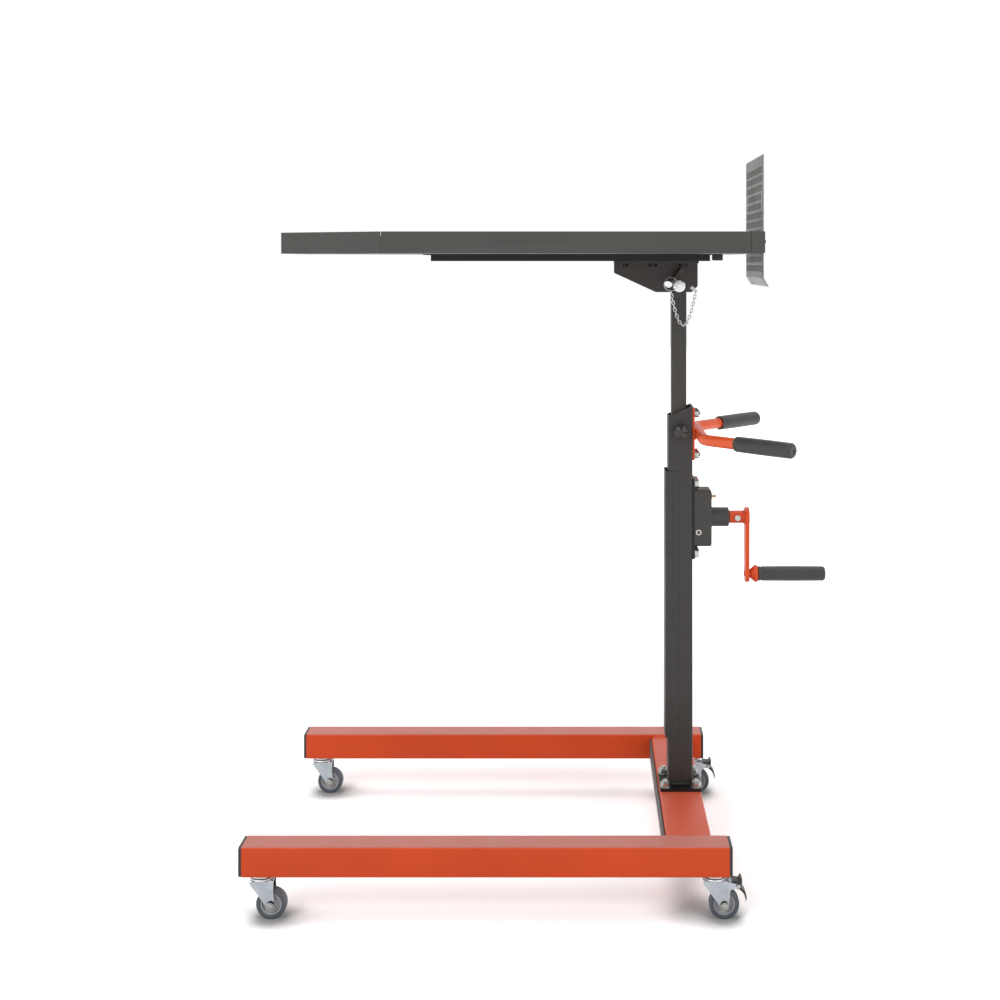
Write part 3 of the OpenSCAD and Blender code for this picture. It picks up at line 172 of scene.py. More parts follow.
PAINTED_SHADOW_REACH, GLOW_STARTS, GLOW_ENDS, HALF_FLOOR = 0.09, 0.55, 2.4, 14.0
paper, tree, spot = blank_material("studio_floor")
# The occlusion mask darkens the floor's colour close under the table: a painted contact shadow, used for both the
# paper and its glow.
shadow_occlusion = node(tree, "AmbientOcclusion", {"samples": 20}, Distance=PAINTED_SHADOW_REACH)
painted_shadow_tone = spread(tree, shadow_occlusion.outputs["AO"], 0.26, 0.97, 0.58, 0.90, "SMOOTHSTEP")
matt = node(tree, "BsdfDiffuse", Color=painted_shadow_tone, Roughness=1.0)
flat_spot = node(tree, "Mapping", Vector=spot, Scale=(1, 1, 0))
away = node(tree, "VectorMath", {"operation": "LENGTH"}, i0=flat_spot.outputs[0])
rise = spread(tree, away.outputs["Value"], 0.28, 0.85, GLOW_STARTS, GLOW_ENDS, "SMOOTHSTEP")
glow = node(tree, "Emission", Color=painted_shadow_tone,
            Strength=maths(tree, "MULTIPLY", seen_directly(tree), rise))
both = node(tree, "AddShader", i0=matt.outputs[0], i1=glow.outputs[0])
node(tree, "OutputMaterial", Surface=both.outputs[0])

floor_mesh = bpy.data.meshes.new("studio_floor")
corners = HALF_FLOOR * np.array([[-1, -1, 0], [1, -1, 0], [1, 1, 0], [-1, 1, 0]])
floor_mesh.from_pydata(corners.tolist(), [], [(0, 1, 2, 3)])
studio_floor = bpy.data.objects.new("studio_floor", floor_mesh)
bpy.context.scene.collection.objects.link(studio_floor)
floor_mesh.materials.append(paper)

world = bpy.data.worlds.new("studio")
bpy.context.scene.world = world
world.use_nodes = True
tree = world.node_tree
tree.nodes.clear()
room = node(tree, "Background", Color=(1, 1, 1, 1), Strength=0.62)
backdrop = node(tree, "Background", Color=(1, 1, 1, 1), Strength=1.0)
mix = node(tree, "MixShader", i0=seen_directly(tree), i1=room.outputs[0], i2=backdrop.outputs[0])
node(tree, "OutputWorld", Surface=mix.outputs[0])


def soft_lamp(name, place, aim, size, watts):
    """A square lamp at place, turned to face aim. Metres."""
    data = bpy.data.lights.new(name, "AREA")
    data.shape, data.size, data.energy = "SQUARE", size, watts
    lamp = bpy.data.objects.new(name, data)
    bpy.context.scene.collection.objects.link(lamp)
    lamp.location = place
    step = np.array(aim, float) - np.array(place, float)
    lamp.rotation_euler = (np.arctan2(np.hypot(step[0], step[1]), -step[2]), 0,
                           np.arctan2(step[1], step[0]) - np.pi / 2)


soft_lamp("key", (-2.2, -2.6, 3.2), (0, 0, 0.6), 2.4, 62)
soft_lamp("fill", (2.8, -2.2, 2.0), (0, 0, 0.7), 2.4, 30)
soft_lamp("top", (0.0, 0.6, 3.4), (0, 0, 0.4), 2.6, 30)
soft_lamp("side", (-3.2, 0.3, 1.3), (0, 0, 0.7), 1.6, 5)
bpy.context.scene.view_settings.view_transform = "Standard"

# %% [markdown]
# ## Finishes
#
# Most of the table is powder-coated steel. The powder melts into a skin that is smooth
# at arm's length and slightly pebbled close up, so a material needs two scales: slow
# drifts of tone over a hand's width, and a grain of about half a millimetre that only
# tilts the light. A texture photograph would stretch at the bends, so both come from
# noise on object coordinates, which has no seams.

# %% Texture helpers
def upward(tree):
    """1 on a face that looks up while the piece stands as it was made, 0 on a side."""
    return node(tree, "SeparateXYZ", Vector=node(tree, "TexCoord").outputs["Normal"]).outputs["Z"]


def noise(tree, where, scale, detail=2.0, rough=0.5):
    """Noise with about scale lumps to the metre, from 0 to 1."""
    made = node(tree, "TexNoise", Vector=where, Scale=scale, Detail=detail, Roughness=rough)
    return made.outputs["Fac"]


def layer(tree, factor, below, above):
    """Colour above laid on colour below where factor is 1. Each is a socket or a shade."""
    below, above = [colour if isinstance(colour, bpy.types.NodeSocket) else (*colour, 1)
                    for colour in (below, above)]
    return node(tree, "Mix", {"data_type": "RGBA"}, i0=factor, i6=below, i7=above).outputs[2]


def bump(tree, height, depth, **under):
    """A normal tilted by relief depth metres deep, on another normal where one is given."""
    return node(tree, "Bump", Height=height, Distance=depth, **under).outputs[0]


def edge_mask(tree, radius):
    """1 along sharp edges: where the rounded normal leaves the true one."""
    rounded = node(tree, "Bevel", {"samples": 4}, Radius=radius).outputs[0]
    true = node(tree, "NewGeometry").outputs["True Normal"]
    dot = node(tree, "VectorMath", {"operation": "DOT_PRODUCT"}, i0=rounded, i1=true)
    return spread(tree, dot.outputs["Value"], 1.0, 0.0, 1.0 - 1.0 / 12, 0.998)


def shade(colour):
    """A colour as a paint chart gives it, 0 to 255, as linear light."""
    c = np.array(colour) / 255
    return np.where(c < 0.04045, c / 12.92, ((c + 0.055) / 1.055) ** 2.4)


def finished(material, **sockets):
    """The material, with a Principled shader of those sockets as its surface."""
    tree = material.node_tree
    shader = node(tree, "BsdfPrincipled", **sockets)
    node(tree, "OutputMaterial", Surface=shader.outputs[0])
    return material


# %% [markdown]
# The powder coat is one recipe with a few knobs: the tone, how pebbled it is, how much
# the edges have been rubbed, and how much dust and painted sheen lie on what faces up.
# Rubbed edges show the primer, a paler version of the same tone, broken up by noise so
# that no edge is worn evenly. The film on the tops greys a flat top and never a side: it
# is partly dust and partly a painted sheen, a paler top that stands in for the light
# glancing off it.

# %% Powder coat
# Pale grey laid on upward faces: partly dust, partly a painted sheen.
DUST_AND_SHEEN_GREY = (0.40, 0.36, 0.35)


def powder_coat(name, tone, pebble, roughness, rubbed=0.30, drift=0.07, dust_and_sheen=0.0, gloss=0.5):
    """Tone drifts over a hand's width, carries dark specks, pales where rubbed, and greys
    where it faces up, dusty and with a painted sheen. Three heights, two in the relief and one in the shine, make
    the skin."""
    material, tree, where = blank_material(name)
    tone = shade(tone)
    cloud = spread(tree, noise(tree, where, 7, 3), 0, 1)
    colour = layer(tree, cloud, tone * (1 - drift), tone * (1 + drift))
    speck = spread(tree, noise(tree, where, 900, 1), 0, 1, 0.62, 0.72)
    colour = layer(tree, maths(tree, "MULTIPLY", speck, 0.25), colour, tone * 0.7)
    patch = spread(tree, noise(tree, where, 60, 4, 0.7), 0, 1, 0.45, 0.62)
    worn = maths(tree, "MULTIPLY", maths(tree, "MULTIPLY", edge_mask(tree, 0.8 * MM), patch), rubbed)
    colour = layer(tree, worn, colour, np.minimum(tone * 1.5 + 0.06, 1))
    # Upward faces are greyed towards pale grey: partly dust, partly a painted sheen that stands in for light
    # glancing off the tops.
    if dust_and_sheen:
        film = spread(tree, noise(tree, where, 35, 4, 0.6), 0.8 * dust_and_sheen, dust_and_sheen)
        film = maths(tree, "MULTIPLY", film, spread(tree, upward(tree), 0, 1, 0.6, 1.0))
        colour = layer(tree, film, colour, DUST_AND_SHEEN_GREY)
    waves = bump(tree, noise(tree, where, 240, 2), 0.05 * MM * pebble)
    smear = noise(tree, where, 22, 4, 0.65)
    return finished(material, Base_Color=colour, Specular_IOR_Level=gloss,
                    Roughness=spread(tree, smear, roughness - 0.06, roughness + 0.08),
                    Normal=bump(tree, noise(tree, where, 1500, 2, 0.6), 0.035 * MM * pebble,
                                Normal=waves))


orange_coat = powder_coat("orange_coat", (203, 66, 10), 0.6, 0.42, dust_and_sheen=0.42, gloss=0.35)
# The same orange paint with less of the pale top layer, for the beam, plates and crank: less dust and less painted
# top sheen than on the rails.
orange_less_dust_and_sheen = powder_coat("orange_less_dust_and_sheen", (206, 68, 14), 0.6, 0.42, dust_and_sheen=0.14, gloss=0.4)
# The same orange paint made lighter for the handlebar and its welds: a painted lit copy, standing in for the extra
# lamp light on the tube.
orange_painted_lit = powder_coat("orange_painted_lit", (226, 88, 36), 0.5, 0.40, 0.25)
charcoal_coat = powder_coat("charcoal_coat", (56, 55, 52), 1.0, 0.50)
cover_coat = powder_coat("cover_coat", (38, 36, 34), 0.9, 0.48)
tube_coat = powder_coat("tube_coat", (46, 42, 38), 0.8, 0.46)
post_coat = powder_coat("post_coat", (38, 35, 33), 0.8, 0.46)
black_coat = powder_coat("black_coat", (14, 11, 11), 0.8, 0.42, 0.35, gloss=0.35)
ear_coat = powder_coat("ear_coat", (41, 34, 30), 0.8, 0.44)
panel_coat = powder_coat("panel_coat", (80, 77, 73), 0.5, 0.38, drift=0.05)

# %% [markdown]
# A casting is rougher than folded sheet: sand leaves dimples a millimetre across, and
# the coat over them is thicker in the hollows. Two noises, one coarse, one fine, are
# added as height. Moulded plastic and rubber are the opposite: almost no relief, a soft
# broad shine, and a lighter film on what faces up, partly dust and partly a painted
# top sheen.

# %% Cast iron, plastic and rubber
def cast_coat(name, tone):
    """Sand dimples over a slow swell. The dimples also dull the coat, and their hollows are painted darker, a
    painted shade.
    """
    material, tree, where = blank_material(name)
    tone = shade(tone)
    sand = noise(tree, where, 700, 4, 0.7)
    swell = bump(tree, noise(tree, where, 90, 2), 0.5 * MM)
    # The colour darkens with the same sand noise that sinks the relief: painted shade in the hollows.
    return finished(material, Roughness=spread(tree, sand, 0.42, 0.58),
                    Base_Color=layer(tree, spread(tree, sand, 0, 1, 0.35, 0.65), tone * 0.8, tone * 1.15),
                    Normal=bump(tree, sand, 0.22 * MM, Normal=swell))


def moulded(name, tone, roughness, grain_scale=1800, grain=0.03, dust_and_sheen=0.25, sheen=0.0):
    """Plastic or rubber with a spark-eroded grain and a lighter film on its upper side, partly dusty and partly a
    painted top sheen.
    """
    material, tree, where = blank_material(name)
    tone = shade(tone)
    colour = layer(tree, spread(tree, noise(tree, where, 30, 3), 0, 1), tone * 0.9, tone * 1.1)
    # Upward faces are lightened: partly dust, partly a painted top sheen.
    settled_dust_and_sheen = maths(tree, "MULTIPLY", spread(tree, upward(tree), 0, 1, 0.2, 1.0),
                    spread(tree, noise(tree, where, 160, 4, 0.7), 0, dust_and_sheen))
    shine = spread(tree, noise(tree, where, 45, 3), roughness - 0.05, roughness + 0.06)
    return finished(material, Base_Color=layer(tree, settled_dust_and_sheen, colour, tone * 0.7 + 0.09),
                    Normal=bump(tree, noise(tree, where, grain_scale, 2), grain * MM),
                    Roughness=shine, Sheen_Weight=sheen)


gearbox_coat = cast_coat("gearbox_coat", (46, 44, 41))
black_plastic = moulded("black_plastic", (34, 33, 33), 0.42)
grip_rubber = moulded("grip_rubber", (42, 40, 39), 0.50, 1200, 0.05, 0.2, 0.15)
strip_rubber = moulded("strip_rubber", (48, 45, 43), 0.62, 800, 0.06, 0.3, 0.1)
tread_rubber = moulded("tread_rubber", (80, 87, 97), 0.52, 900, 0.05, 0.3, 0.1)
hub_plastic = moulded("hub_plastic", (168, 168, 172), 0.38, 1500, 0.02, 0.15)
bush_plastic = moulded("bush_plastic", (40, 40, 41), 0.45)
sleeve_rubber = moulded("sleeve_rubber", (54, 45, 40), 0.45, 1200, 0.04, 0.15, 0.1)
knob_plastic = moulded("knob_plastic", (40, 38, 36), 0.24, 1500, 0.02, 0.15)

# %% [markdown]
# Zinc plate is bright but not a mirror. Under it the steel keeps faint scratches from
# rolling or turning, and the plate itself has a slightly blue or straw bloom. A metal
# with medium roughness, stretched noise for the scratches and a slow drift of tint
# covers bolts, forks, chain and ring alike. A pressed fork is greyer on its flats, and a
# paler colour is painted along its rims as a painted highlight.

# %% Bare and plated metal
PAINTED_RIM_HIGHLIGHT = (0.88, 0.90, 0.90)


def plated(name, tone, roughness=0.30, bloom=(0.78, 0.80, 0.83), rim=0):
    """Metal whose tint drifts from tone to bloom, with grime in spots, a painted highlight on
    the rims where rim says so, and scratches drawn out along one axis."""
    material, tree, where = blank_material(name)
    along = node(tree, "Mapping", Vector=where, Scale=(1, 1, 6)).outputs[0]
    colour = layer(tree, spread(tree, noise(tree, where, 40, 3), 0, 1), tone, bloom)
    grime = spread(tree, noise(tree, where, 220, 4, 0.7), 0, 1, 0.58, 0.72)
    colour = layer(tree, maths(tree, "MULTIPLY", grime, 0.35), colour, np.array(tone) * 0.45)
    if rim:
        # A paler colour laid along the edges: a painted rim highlight.
        colour = layer(tree, maths(tree, "MULTIPLY", edge_mask(tree, 0.9 * MM), rim), colour, PAINTED_RIM_HIGHLIGHT)
    shine = spread(tree, noise(tree, where, 90, 4, 0.6), roughness - 0.07, roughness + 0.1)
    return finished(material, Base_Color=colour, Roughness=shine, Metallic=1.0,
                    Normal=bump(tree, noise(tree, along, 900, 3, 0.6), 0.006 * MM))


zinc = plated("zinc", (0.66, 0.67, 0.67))
# rim=0.9 paints a paler colour along the fork's rims, a painted highlight.
fork_zinc = plated("fork_zinc", (0.38, 0.43, 0.47), 0.24, (0.50, 0.55, 0.60), rim=0.9)
chain_zinc = plated("chain_zinc", (0.42, 0.42, 0.41), 0.25, (0.55, 0.56, 0.57))
oiled_steel = plated("oiled_steel", (0.36, 0.36, 0.35), 0.32, (0.42, 0.41, 0.38))
nipple_brass = plated("nipple_brass", (0.40, 0.24, 0.13), 0.30, (0.50, 0.33, 0.20))
dull_steel = plated("dull_steel", (0.36, 0.38, 0.36), 0.34, (0.44, 0.45, 0.42))
dark_ring = plated("dark_ring", (0.10, 0.08, 0.07), 0.4, (0.14, 0.11, 0.09))
print(len(bpy.data.materials), "materials")

# %% [markdown]
# ## Giving the model's own pieces soft edges
#
# A folded sheet or a sawn tube has no razor edge: the corner is rounded by a few tenths
# of a millimetre, and that sliver catches a line of light. The model's meshes come as
# loose triangles, so each is copied, its doubled corners merged and its flat faces made
# whole, and then a Bevel modifier rounds what is sharper than 30 degrees.

# %% Soft-edged copies
def clean_copy(name, source):
    """The node's mesh with shared corners and whole flat faces."""
    mesh = frame["nodes"][source].data.copy()
    mesh.name = name
    mesh.materials.clear()
    work = bmesh.new()
    work.from_mesh(mesh)
    bmesh.ops.remove_doubles(work, verts=work.verts, dist=1e-6)
    bmesh.ops.dissolve_limit(work, angle_limit=np.radians(0.6), verts=work.verts, edges=work.edges,
                             delimit={"NORMAL"})
    work.to_mesh(mesh)
    work.free()
    return mesh


def join(name, meshes):
    """One mesh holding several."""
    work = bmesh.new()
    for mesh in meshes:
        work.from_mesh(mesh)
        bpy.data.meshes.remove(mesh)
    whole = bpy.data.meshes.new(name)
    work.to_mesh(whole)
    work.free()
    return whole


def add_piece(name, mesh, material, body, stands_for=(), sharp=None):
    """Puts a mesh, or a list of them made one, in the scene, rides it on a body and gives
    it its finish. Edges that turn by more than sharp degrees stay crisp. Without a body
    the piece is set free."""
    mesh = join(name, mesh) if isinstance(mesh, list) else mesh
    piece = bpy.data.objects.new(name, mesh)
    bpy.context.scene.collection.objects.link(piece)
    mesh.materials.clear()
    mesh.materials.append(material)
    mesh.shade_smooth()
    if sharp:
        mesh.set_sharp_from_angle(angle=np.radians(sharp))
    if body:
        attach(piece, body)
    if stands_for:
        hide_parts(*stands_for)
    return piece


def body_of(node_name):
    for body, nodes in frame["record"]["behaviour"]["bodies"].items():
        if node_name in nodes:
            return body


FOLD = np.radians(30)


def softened(source, material, edge):
    """Replaces a node by a copy with rounded edges, edge millimetres wide."""
    mesh = clean_copy(source + "_soft", source)
    piece = add_piece(source + "_soft", mesh, material, body_of(source), (source,))
    mesh.set_sharp_from_angle(angle=FOLD)
    if edge:
        round_off = piece.modifiers.new("round_off", "BEVEL")
        round_off.width = edge * MM
        round_off.segments = 2
        round_off.limit_method = "ANGLE"
        round_off.angle_limit = FOLD
        round_off.harden_normals = True
        round_off.use_clamp_overlap = True


for source, finish, edge in (
        ("near_rail", orange_coat, 0.5), ("far_rail", orange_coat, 0.5),
        ("cross_beam", orange_less_dust_and_sheen, 0.5), ("rail_end_caps", black_plastic, 1.2),
        ("kick_strip", strip_rubber, 0.0), ("foot_plate", black_coat, 0.6),
        ("mast_post", post_coat, 0.3), ("mast_cover", cover_coat, 0.3),
        ("gearbox_plate", black_coat, 0.5), ("gearbox_housing", gearbox_coat, 1.0),
        ("knob_boss", charcoal_coat, 0.6), ("handle_plate", orange_less_dust_and_sheen, 0.6),
        ("crank_arm", orange_less_dust_and_sheen, 0.8), ("inner_tube", tube_coat, 0.3),
        ("tray_pan", charcoal_coat, 0.7), ("tray_end_wall", charcoal_coat, 0.6),
        ("tray_pan_support", black_coat, 0.8), ("near_ear", ear_coat, 0.6),
        ("far_ear", ear_coat, 0.6), ("rest_buffer", black_plastic, 1.5),
        ("slotted_panel", panel_coat, 0.15), ("pedal_near", black_plastic, 1.0),
        ("pedal_far", black_plastic, 1.0), ("top_bush", bush_plastic, 0.0),
        ("foot_bush", bush_plastic, 0.0), ("lift_rack", oiled_steel, 0.0),
        ("rack_gear", oiled_steel, 0.0), ("worm", oiled_steel, 0.0),
        ("crank_shaft", oiled_steel, 0.0), ("grip_spindle", orange_less_dust_and_sheen, 0.0),
        *(("fork_" + corner, fork_zinc, 0.35) for corner in CORNERS)):
    softened(source, finish, edge)

# %% [markdown]
# ## Surfaces from two numbers
#
# Everything from here on is made, not copied. A surface is a grid of points: one number
# walks along the piece, the other walks round it, and a formula gives the point. numpy
# works out the whole grid at once. Two kinds cover most of the table: a profile turned
# about a line, as on a lathe, and a section carried along a path, as in tube bending.

# %% Grid helpers
def grid_mesh(name, points, closed_rows=False):
    """A mesh from points[row, column, xyz], with a face in each cell of the grid. The last
    column joins the first, and closed_rows joins the last row to the first. Open ends are
    closed by one flat face each."""
    rows, columns = points.shape[:2]
    index = np.arange(rows * columns).reshape(rows, columns)
    right = np.roll(index, -1, axis=1)
    cells = np.stack([index, right, np.roll(right, -1, axis=0), np.roll(index, -1, axis=0)], axis=-1)
    faces = (cells if closed_rows else cells[:-1]).reshape(-1, 4).tolist()
    if not closed_rows:
        faces += [index[0, ::-1].tolist(), index[-1].tolist()]
    mesh = bpy.data.meshes.new(name)
    mesh.from_pydata(points.reshape(-1, 3).tolist(), [], faces)
    return tidy_mesh(mesh)


def tidy_mesh(mesh):
    """Merges doubled points and turns every face outwards."""
    work = bmesh.new()
    work.from_mesh(mesh)
    bmesh.ops.remove_doubles(work, verts=work.verts, dist=2e-6)
    bmesh.ops.dissolve_degenerate(work, edges=work.edges, dist=1e-7)
    bmesh.ops.recalc_face_normals(work, faces=work.faces)
    work.to_mesh(mesh)
    work.free()
    mesh.validate()
    return mesh


def points_of(mesh):
    """A mesh's points as rows of x, y, z."""
    points = np.empty(3 * len(mesh.vertices))
    mesh.vertices.foreach_get("co", points)
    return points.reshape(-1, 3)


def unit(vector):
    return vector / np.linalg.norm(vector)


def facing(axis):
    """The matrix that turns +Z on to axis, with +X kept level."""
    z = unit(np.array(axis, float))
    x = unit(np.cross([0, 0, 1.0] if abs(z[2]) < 0.9 else [1.0, 0, 0], z))
    return np.stack([x, np.cross(z, x), z], axis=1)


# %% Lathe
def circle(count):
    """Angles of count steps round a turn, as one row."""
    return np.linspace(0, 2 * np.pi, count, endpoint=False)[None, :]


def round_mesh(name, t, radius, z, at, axis, ring=False):
    """Point = at + radius cos(t) X + radius sin(t) Y + z Z, with Z along the axis. The grid
    has a row for each z and a column for each t. Radius and z in millimetres."""
    points = np.stack([radius * np.cos(t), radius * np.sin(t), z + 0 * t], axis=-1) * MM
    mesh = grid_mesh(name, points, closed_rows=ring)
    mesh.vertices.foreach_set("co", (points_of(mesh) @ facing(axis).T + np.array(at)).ravel())
    return mesh


def arc(centre_r, centre_z, radius, start, end, steps=6):
    """Points of a profile along an arc, as (r, z), angles in degrees from the r axis."""
    a = np.radians(np.linspace(start, end, steps))
    return np.stack([centre_r + radius * np.cos(a), centre_z + radius * np.sin(a)], axis=1)


def rows_of(profile):
    """Pairs (r, z), typed one by one or made by arc, as one array."""
    return np.concatenate([np.atleast_2d(part) for part in profile]).astype(float)


def turned(name, profile, at, axis, around=48, wobble=None, ring=False):
    """A profile of (r, z) turned about axis through at. wobble, where given, adds to r as a
    function of (t, r, z). A ring's profile is a closed loop."""
    profile, t = rows_of(profile), circle(around)
    r, z = profile[:, :1], profile[:, 1:]
    return round_mesh(name, t, r + (wobble(t, r, z) if wobble else 0 * t), z, at, axis, ring)


# %% [markdown]
# ## Rubber grips
#
# The grips are moulded sleeves pushed over the tube: a rolled lip at the mouth, a long
# barrel that swells by half a millimetre in the hand, a round end with a small vent
# hole. As a turned profile that is a handful of arcs. Two shallow grooves near the
# mouth are where the mould's sleeve parted.

# %% Grips
def grip_mesh(name, at, axis, length, width):
    """A sleeve from its mouth at z = 0 to its round end at z = length."""
    half, end_round, lip = width / 2, 5.5, 2.2
    run = np.linspace(9, length - end_round - 3, 14)
    barrel = np.stack([half + 0.25 * np.sin(np.pi * (run - 9) / (length - 17)), run], axis=1)
    profile = [(half - 3.4, 0.6), arc(half - lip, lip, lip, -90, 20, 6), (half - 0.25, 5.2),
               (half - 0.7, 5.9), (half - 0.7, 6.7), (half - 0.1, 7.4), barrel,
               arc(half - end_round, length - end_round, end_round, 0, 86, 9),
               (2.0, length), (1.7, length - 0.5), (1.6, length - 6), (0.01, length - 6)]
    return turned(name, profile, at, axis)


bar_z = float(middle("handle_plate")[2])
bar_low = lowest("handlebar")
bar_r = size_of("handlebar")[2] / 2
slant = np.array([np.sin(np.pi / 4), np.cos(np.pi / 4), 0])
BAR_CORNER, BAR_ARM, BEND_RADIUS = 0.099, 0.188, 0.042
GRIP_LENGTH, GRIP_WIDTH, GRIP_PAST = 120, 27, 5
grips = []
for side in (-1, 1):
    away = slant * (1, side, 1)
    corner = np.array([bar_low[0] + bar_r, side * BAR_CORNER, bar_z])
    mouth = corner + away * (BAR_ARM + GRIP_PAST * MM - GRIP_LENGTH * MM)
    grips.append(grip_mesh("grip", mouth, away, GRIP_LENGTH, GRIP_WIDTH))
add_piece("handle_grips_moulded", grips, grip_rubber, "base", ("handle_grips",))

grip_at = middle("crank_grip")
grip_at[0] = lowest("crank_grip")[0]
grip_length, _, grip_width = size_of("crank_grip") / MM
crank_grip = grip_mesh("crank_grip_moulded", grip_at, (1, 0, 0), grip_length, grip_width - 0.5)
add_piece("crank_grip_moulded", crank_grip, grip_rubber, "crank_handle", ("crank_grip",))
print("three grips")

# %% [markdown]
# ## Bent tube
#
# A handlebar is a straight tube pulled round two formers. A section carried along a
# path needs a frame at each step: where the path goes, and which way is sideways. The
# whole path lies in one level plane, so sideways is simply the travel direction crossed
# with that plane's normal, and the tube cannot twist.

# %% Section along a flat path
def swept(name, path, radius, plane, around=24, closed=False):
    """A round section carried along a path that lies in the plane with that normal.
    Point = path + r cos(t) N + r sin(t) (T x N), with T along the path, N the normal.
    radius is one number, or one for each point of the path. Metres."""
    path = np.array(path, float)
    ahead = np.roll(path, -1, axis=0) - np.roll(path, 1, axis=0) if closed else np.gradient(path, axis=0)
    ahead /= np.linalg.norm(ahead, axis=1)[:, None]
    up = unit(np.array(plane, float))
    side = np.cross(ahead, up)
    t = circle(around)[:, :, None]
    r = np.broadcast_to(np.asarray(radius, float), (len(path),))[:, None, None]
    points = path[:, None, :] + r * (np.cos(t) * up + np.sin(t) * side[:, None, :])
    return grid_mesh(name, points, closed_rows=closed)


def bend(corner, before, after, radius, steps=12):
    """Points round a corner: a circular arc that touches both straight lines.
    Point = centre + radius (cos, sin) in the plane of the two lines."""
    before, after = np.array(before, float), np.array(after, float)
    turn = np.arccos(np.clip(before @ after, -1, 1))
    start = corner - before * radius * np.tan(turn / 2)
    inward = unit(after - before * (before @ after))
    a = np.linspace(0, turn, steps)[:, None]
    return start + radius * (before * np.sin(a) + inward * (1 - np.cos(a)))


left_corner = np.array([bar_low[0] + bar_r, -BAR_CORNER, bar_z])
right_corner = left_corner * (1, -1, 1)
left_way, right_way = slant * (1, -1, 1), slant
path = np.concatenate([[left_corner + left_way * BAR_ARM],
                       bend(left_corner, -left_way, (0, 1, 0), BEND_RADIUS),
                       bend(right_corner, (0, 1, 0), right_way, BEND_RADIUS),
                       [right_corner + right_way * BAR_ARM]])
add_piece("handlebar_bent", swept("handlebar_bent", path, bar_r, (0, 0, 1), 32), orange_painted_lit,
          "base", ("handlebar",))

# %% [markdown]
# ## Welds
#
# A weld is a row of frozen puddles. Seen from a step away it is a rounded fillet with
# ripples about two millimetres apart, under the same paint as the steel. A tube swept
# along the seam, with its radius beating like |sin|, gives the ripple with no texture.

# %% Weld beads
def bead(start, end, width=2.6):
    """A weld from start to end: radius = width (0.88 + 0.14 |sin(pi s / ripple)|), with s
    the length along it, and smaller within 2 mm of either end."""
    start, end = np.array(start, float), np.array(end, float)
    length, ripple = np.linalg.norm(end - start) / MM, 2.2
    s = np.linspace(0, 1, int(length * 1.8) + 3)
    radius = width * (0.88 + 0.14 * np.abs(np.sin(np.pi * s * length / ripple)))
    radius *= np.clip(np.minimum(s, 1 - s) * length / 2.5 + 0.35, 0.35, 1)
    upright = (0, 0, 1) if abs(end[2] - start[2]) < 1e-6 else (1, 0, 0)
    return swept("seam", start + (end - start) * s[:, None], radius * MM, upright, 10)


beam_low, beam_high = ends("cross_beam")
post_low, post_high = ends("mast_post")
BEAM_INSET, POST_INSET, BAR_SEAM = 4 * MM, 2 * MM, 16 * MM
seams = []
for side in (-1, 1):
    y = beam_high[1] * side
    seams.append(bead((beam_low[0] + BEAM_INSET, y, beam_high[2]),
                      (beam_high[0] - BEAM_INSET, y, beam_high[2])))
    for x in (beam_low[0], beam_high[0]):
        seams.append(bead((x, y, beam_low[2] + BEAM_INSET), (x, y, beam_high[2] - BEAM_INSET)))
add_piece("beam_welds", seams, orange_less_dust_and_sheen, "base")

seams = []
foot_z = post_low[2] + MM
for side in (-1, 1):
    y = post_high[1] * side
    seams.append(bead((post_low[0] + POST_INSET, y, foot_z), (post_high[0] - POST_INSET, y, foot_z)))
    x = post_low[0] if side < 0 else post_high[0]
    seams.append(bead((x, post_low[1] + POST_INSET, foot_z), (x, post_high[1] - POST_INSET, foot_z)))
add_piece("post_welds", seams, black_coat, "base")

plate_face = highest("handle_plate")[0]
seams = [bead((plate_face + MM, -BAR_SEAM, bar_z + side * bar_r * 0.8),
              (plate_face + MM, BAR_SEAM, bar_z + side * bar_r * 0.8), 3.2) for side in (-1, 1)]
add_piece("bar_welds", seams, orange_painted_lit, "base")
print("welds on the beam, the post and the bar")

# %% [markdown]
# ## Bolts
#
# A bolt head starts as a slice of hexagon bar, and its corners are then turned off by a
# lathe tool. So its radius in any direction is the smaller of two: the hexagon's and the
# cone's. A thread is a ridge that climbs one pitch each turn, so its radius only depends
# on height / pitch minus angle / turn. Both are one line of numpy on a grid, and both
# keep their shape in close-up, which a bump map would not.

# %% Hexagons and threads
CRISP = 22
CHAMFER = np.tan(np.radians(28))
THREAD_DEPTH = 0.54
NUT_HEIGHT, HEAD_HEIGHT, WASHER_WIDTH = 0.8, 0.64, 1.24


def hexagon(name, at, axis, across, height, both_ends=False, spin=0.0):
    """Radius = min(hexagon(t), cone(z)): a bolt head, or a nut when both ends are turned.
    spin turns its flats about the axis."""
    t = circle(48)
    flat = (across / 2) / np.cos((t + spin + np.pi / 6) % (np.pi / 3) - np.pi / 6)
    rim = across * 0.47
    cut = (across / np.sqrt(3) - rim) * CHAMFER
    z = np.concatenate([[0], np.linspace(0, cut, 5)[1:] if both_ends else [cut],
                        height - np.linspace(cut, 0, 6)])[:, None]
    cone = rim + (height - z) / CHAMFER
    if both_ends:
        cone = np.minimum(cone, rim + z / CHAMFER)
    return round_mesh(name, t, np.minimum(flat, cone), z, at, axis)


def thread(name, at, axis, width, length, pitch):
    """Radius = r - depth * tri(z / pitch - t / turn), a single-start thread that runs out
    in its last pitch."""
    z = np.linspace(0, length, int(length / pitch * 5) + 2)[:, None]
    t = circle(20)
    phase = (z / pitch - t / (2 * np.pi)) % 1
    depth = THREAD_DEPTH * pitch * np.abs(2 * phase - 1)
    taper = np.clip((length - z) / pitch, 0, 1)
    radius = width / 2 - depth * taper - THREAD_DEPTH * pitch * (1 - taper)
    return round_mesh(name, t, radius, z, at, axis)


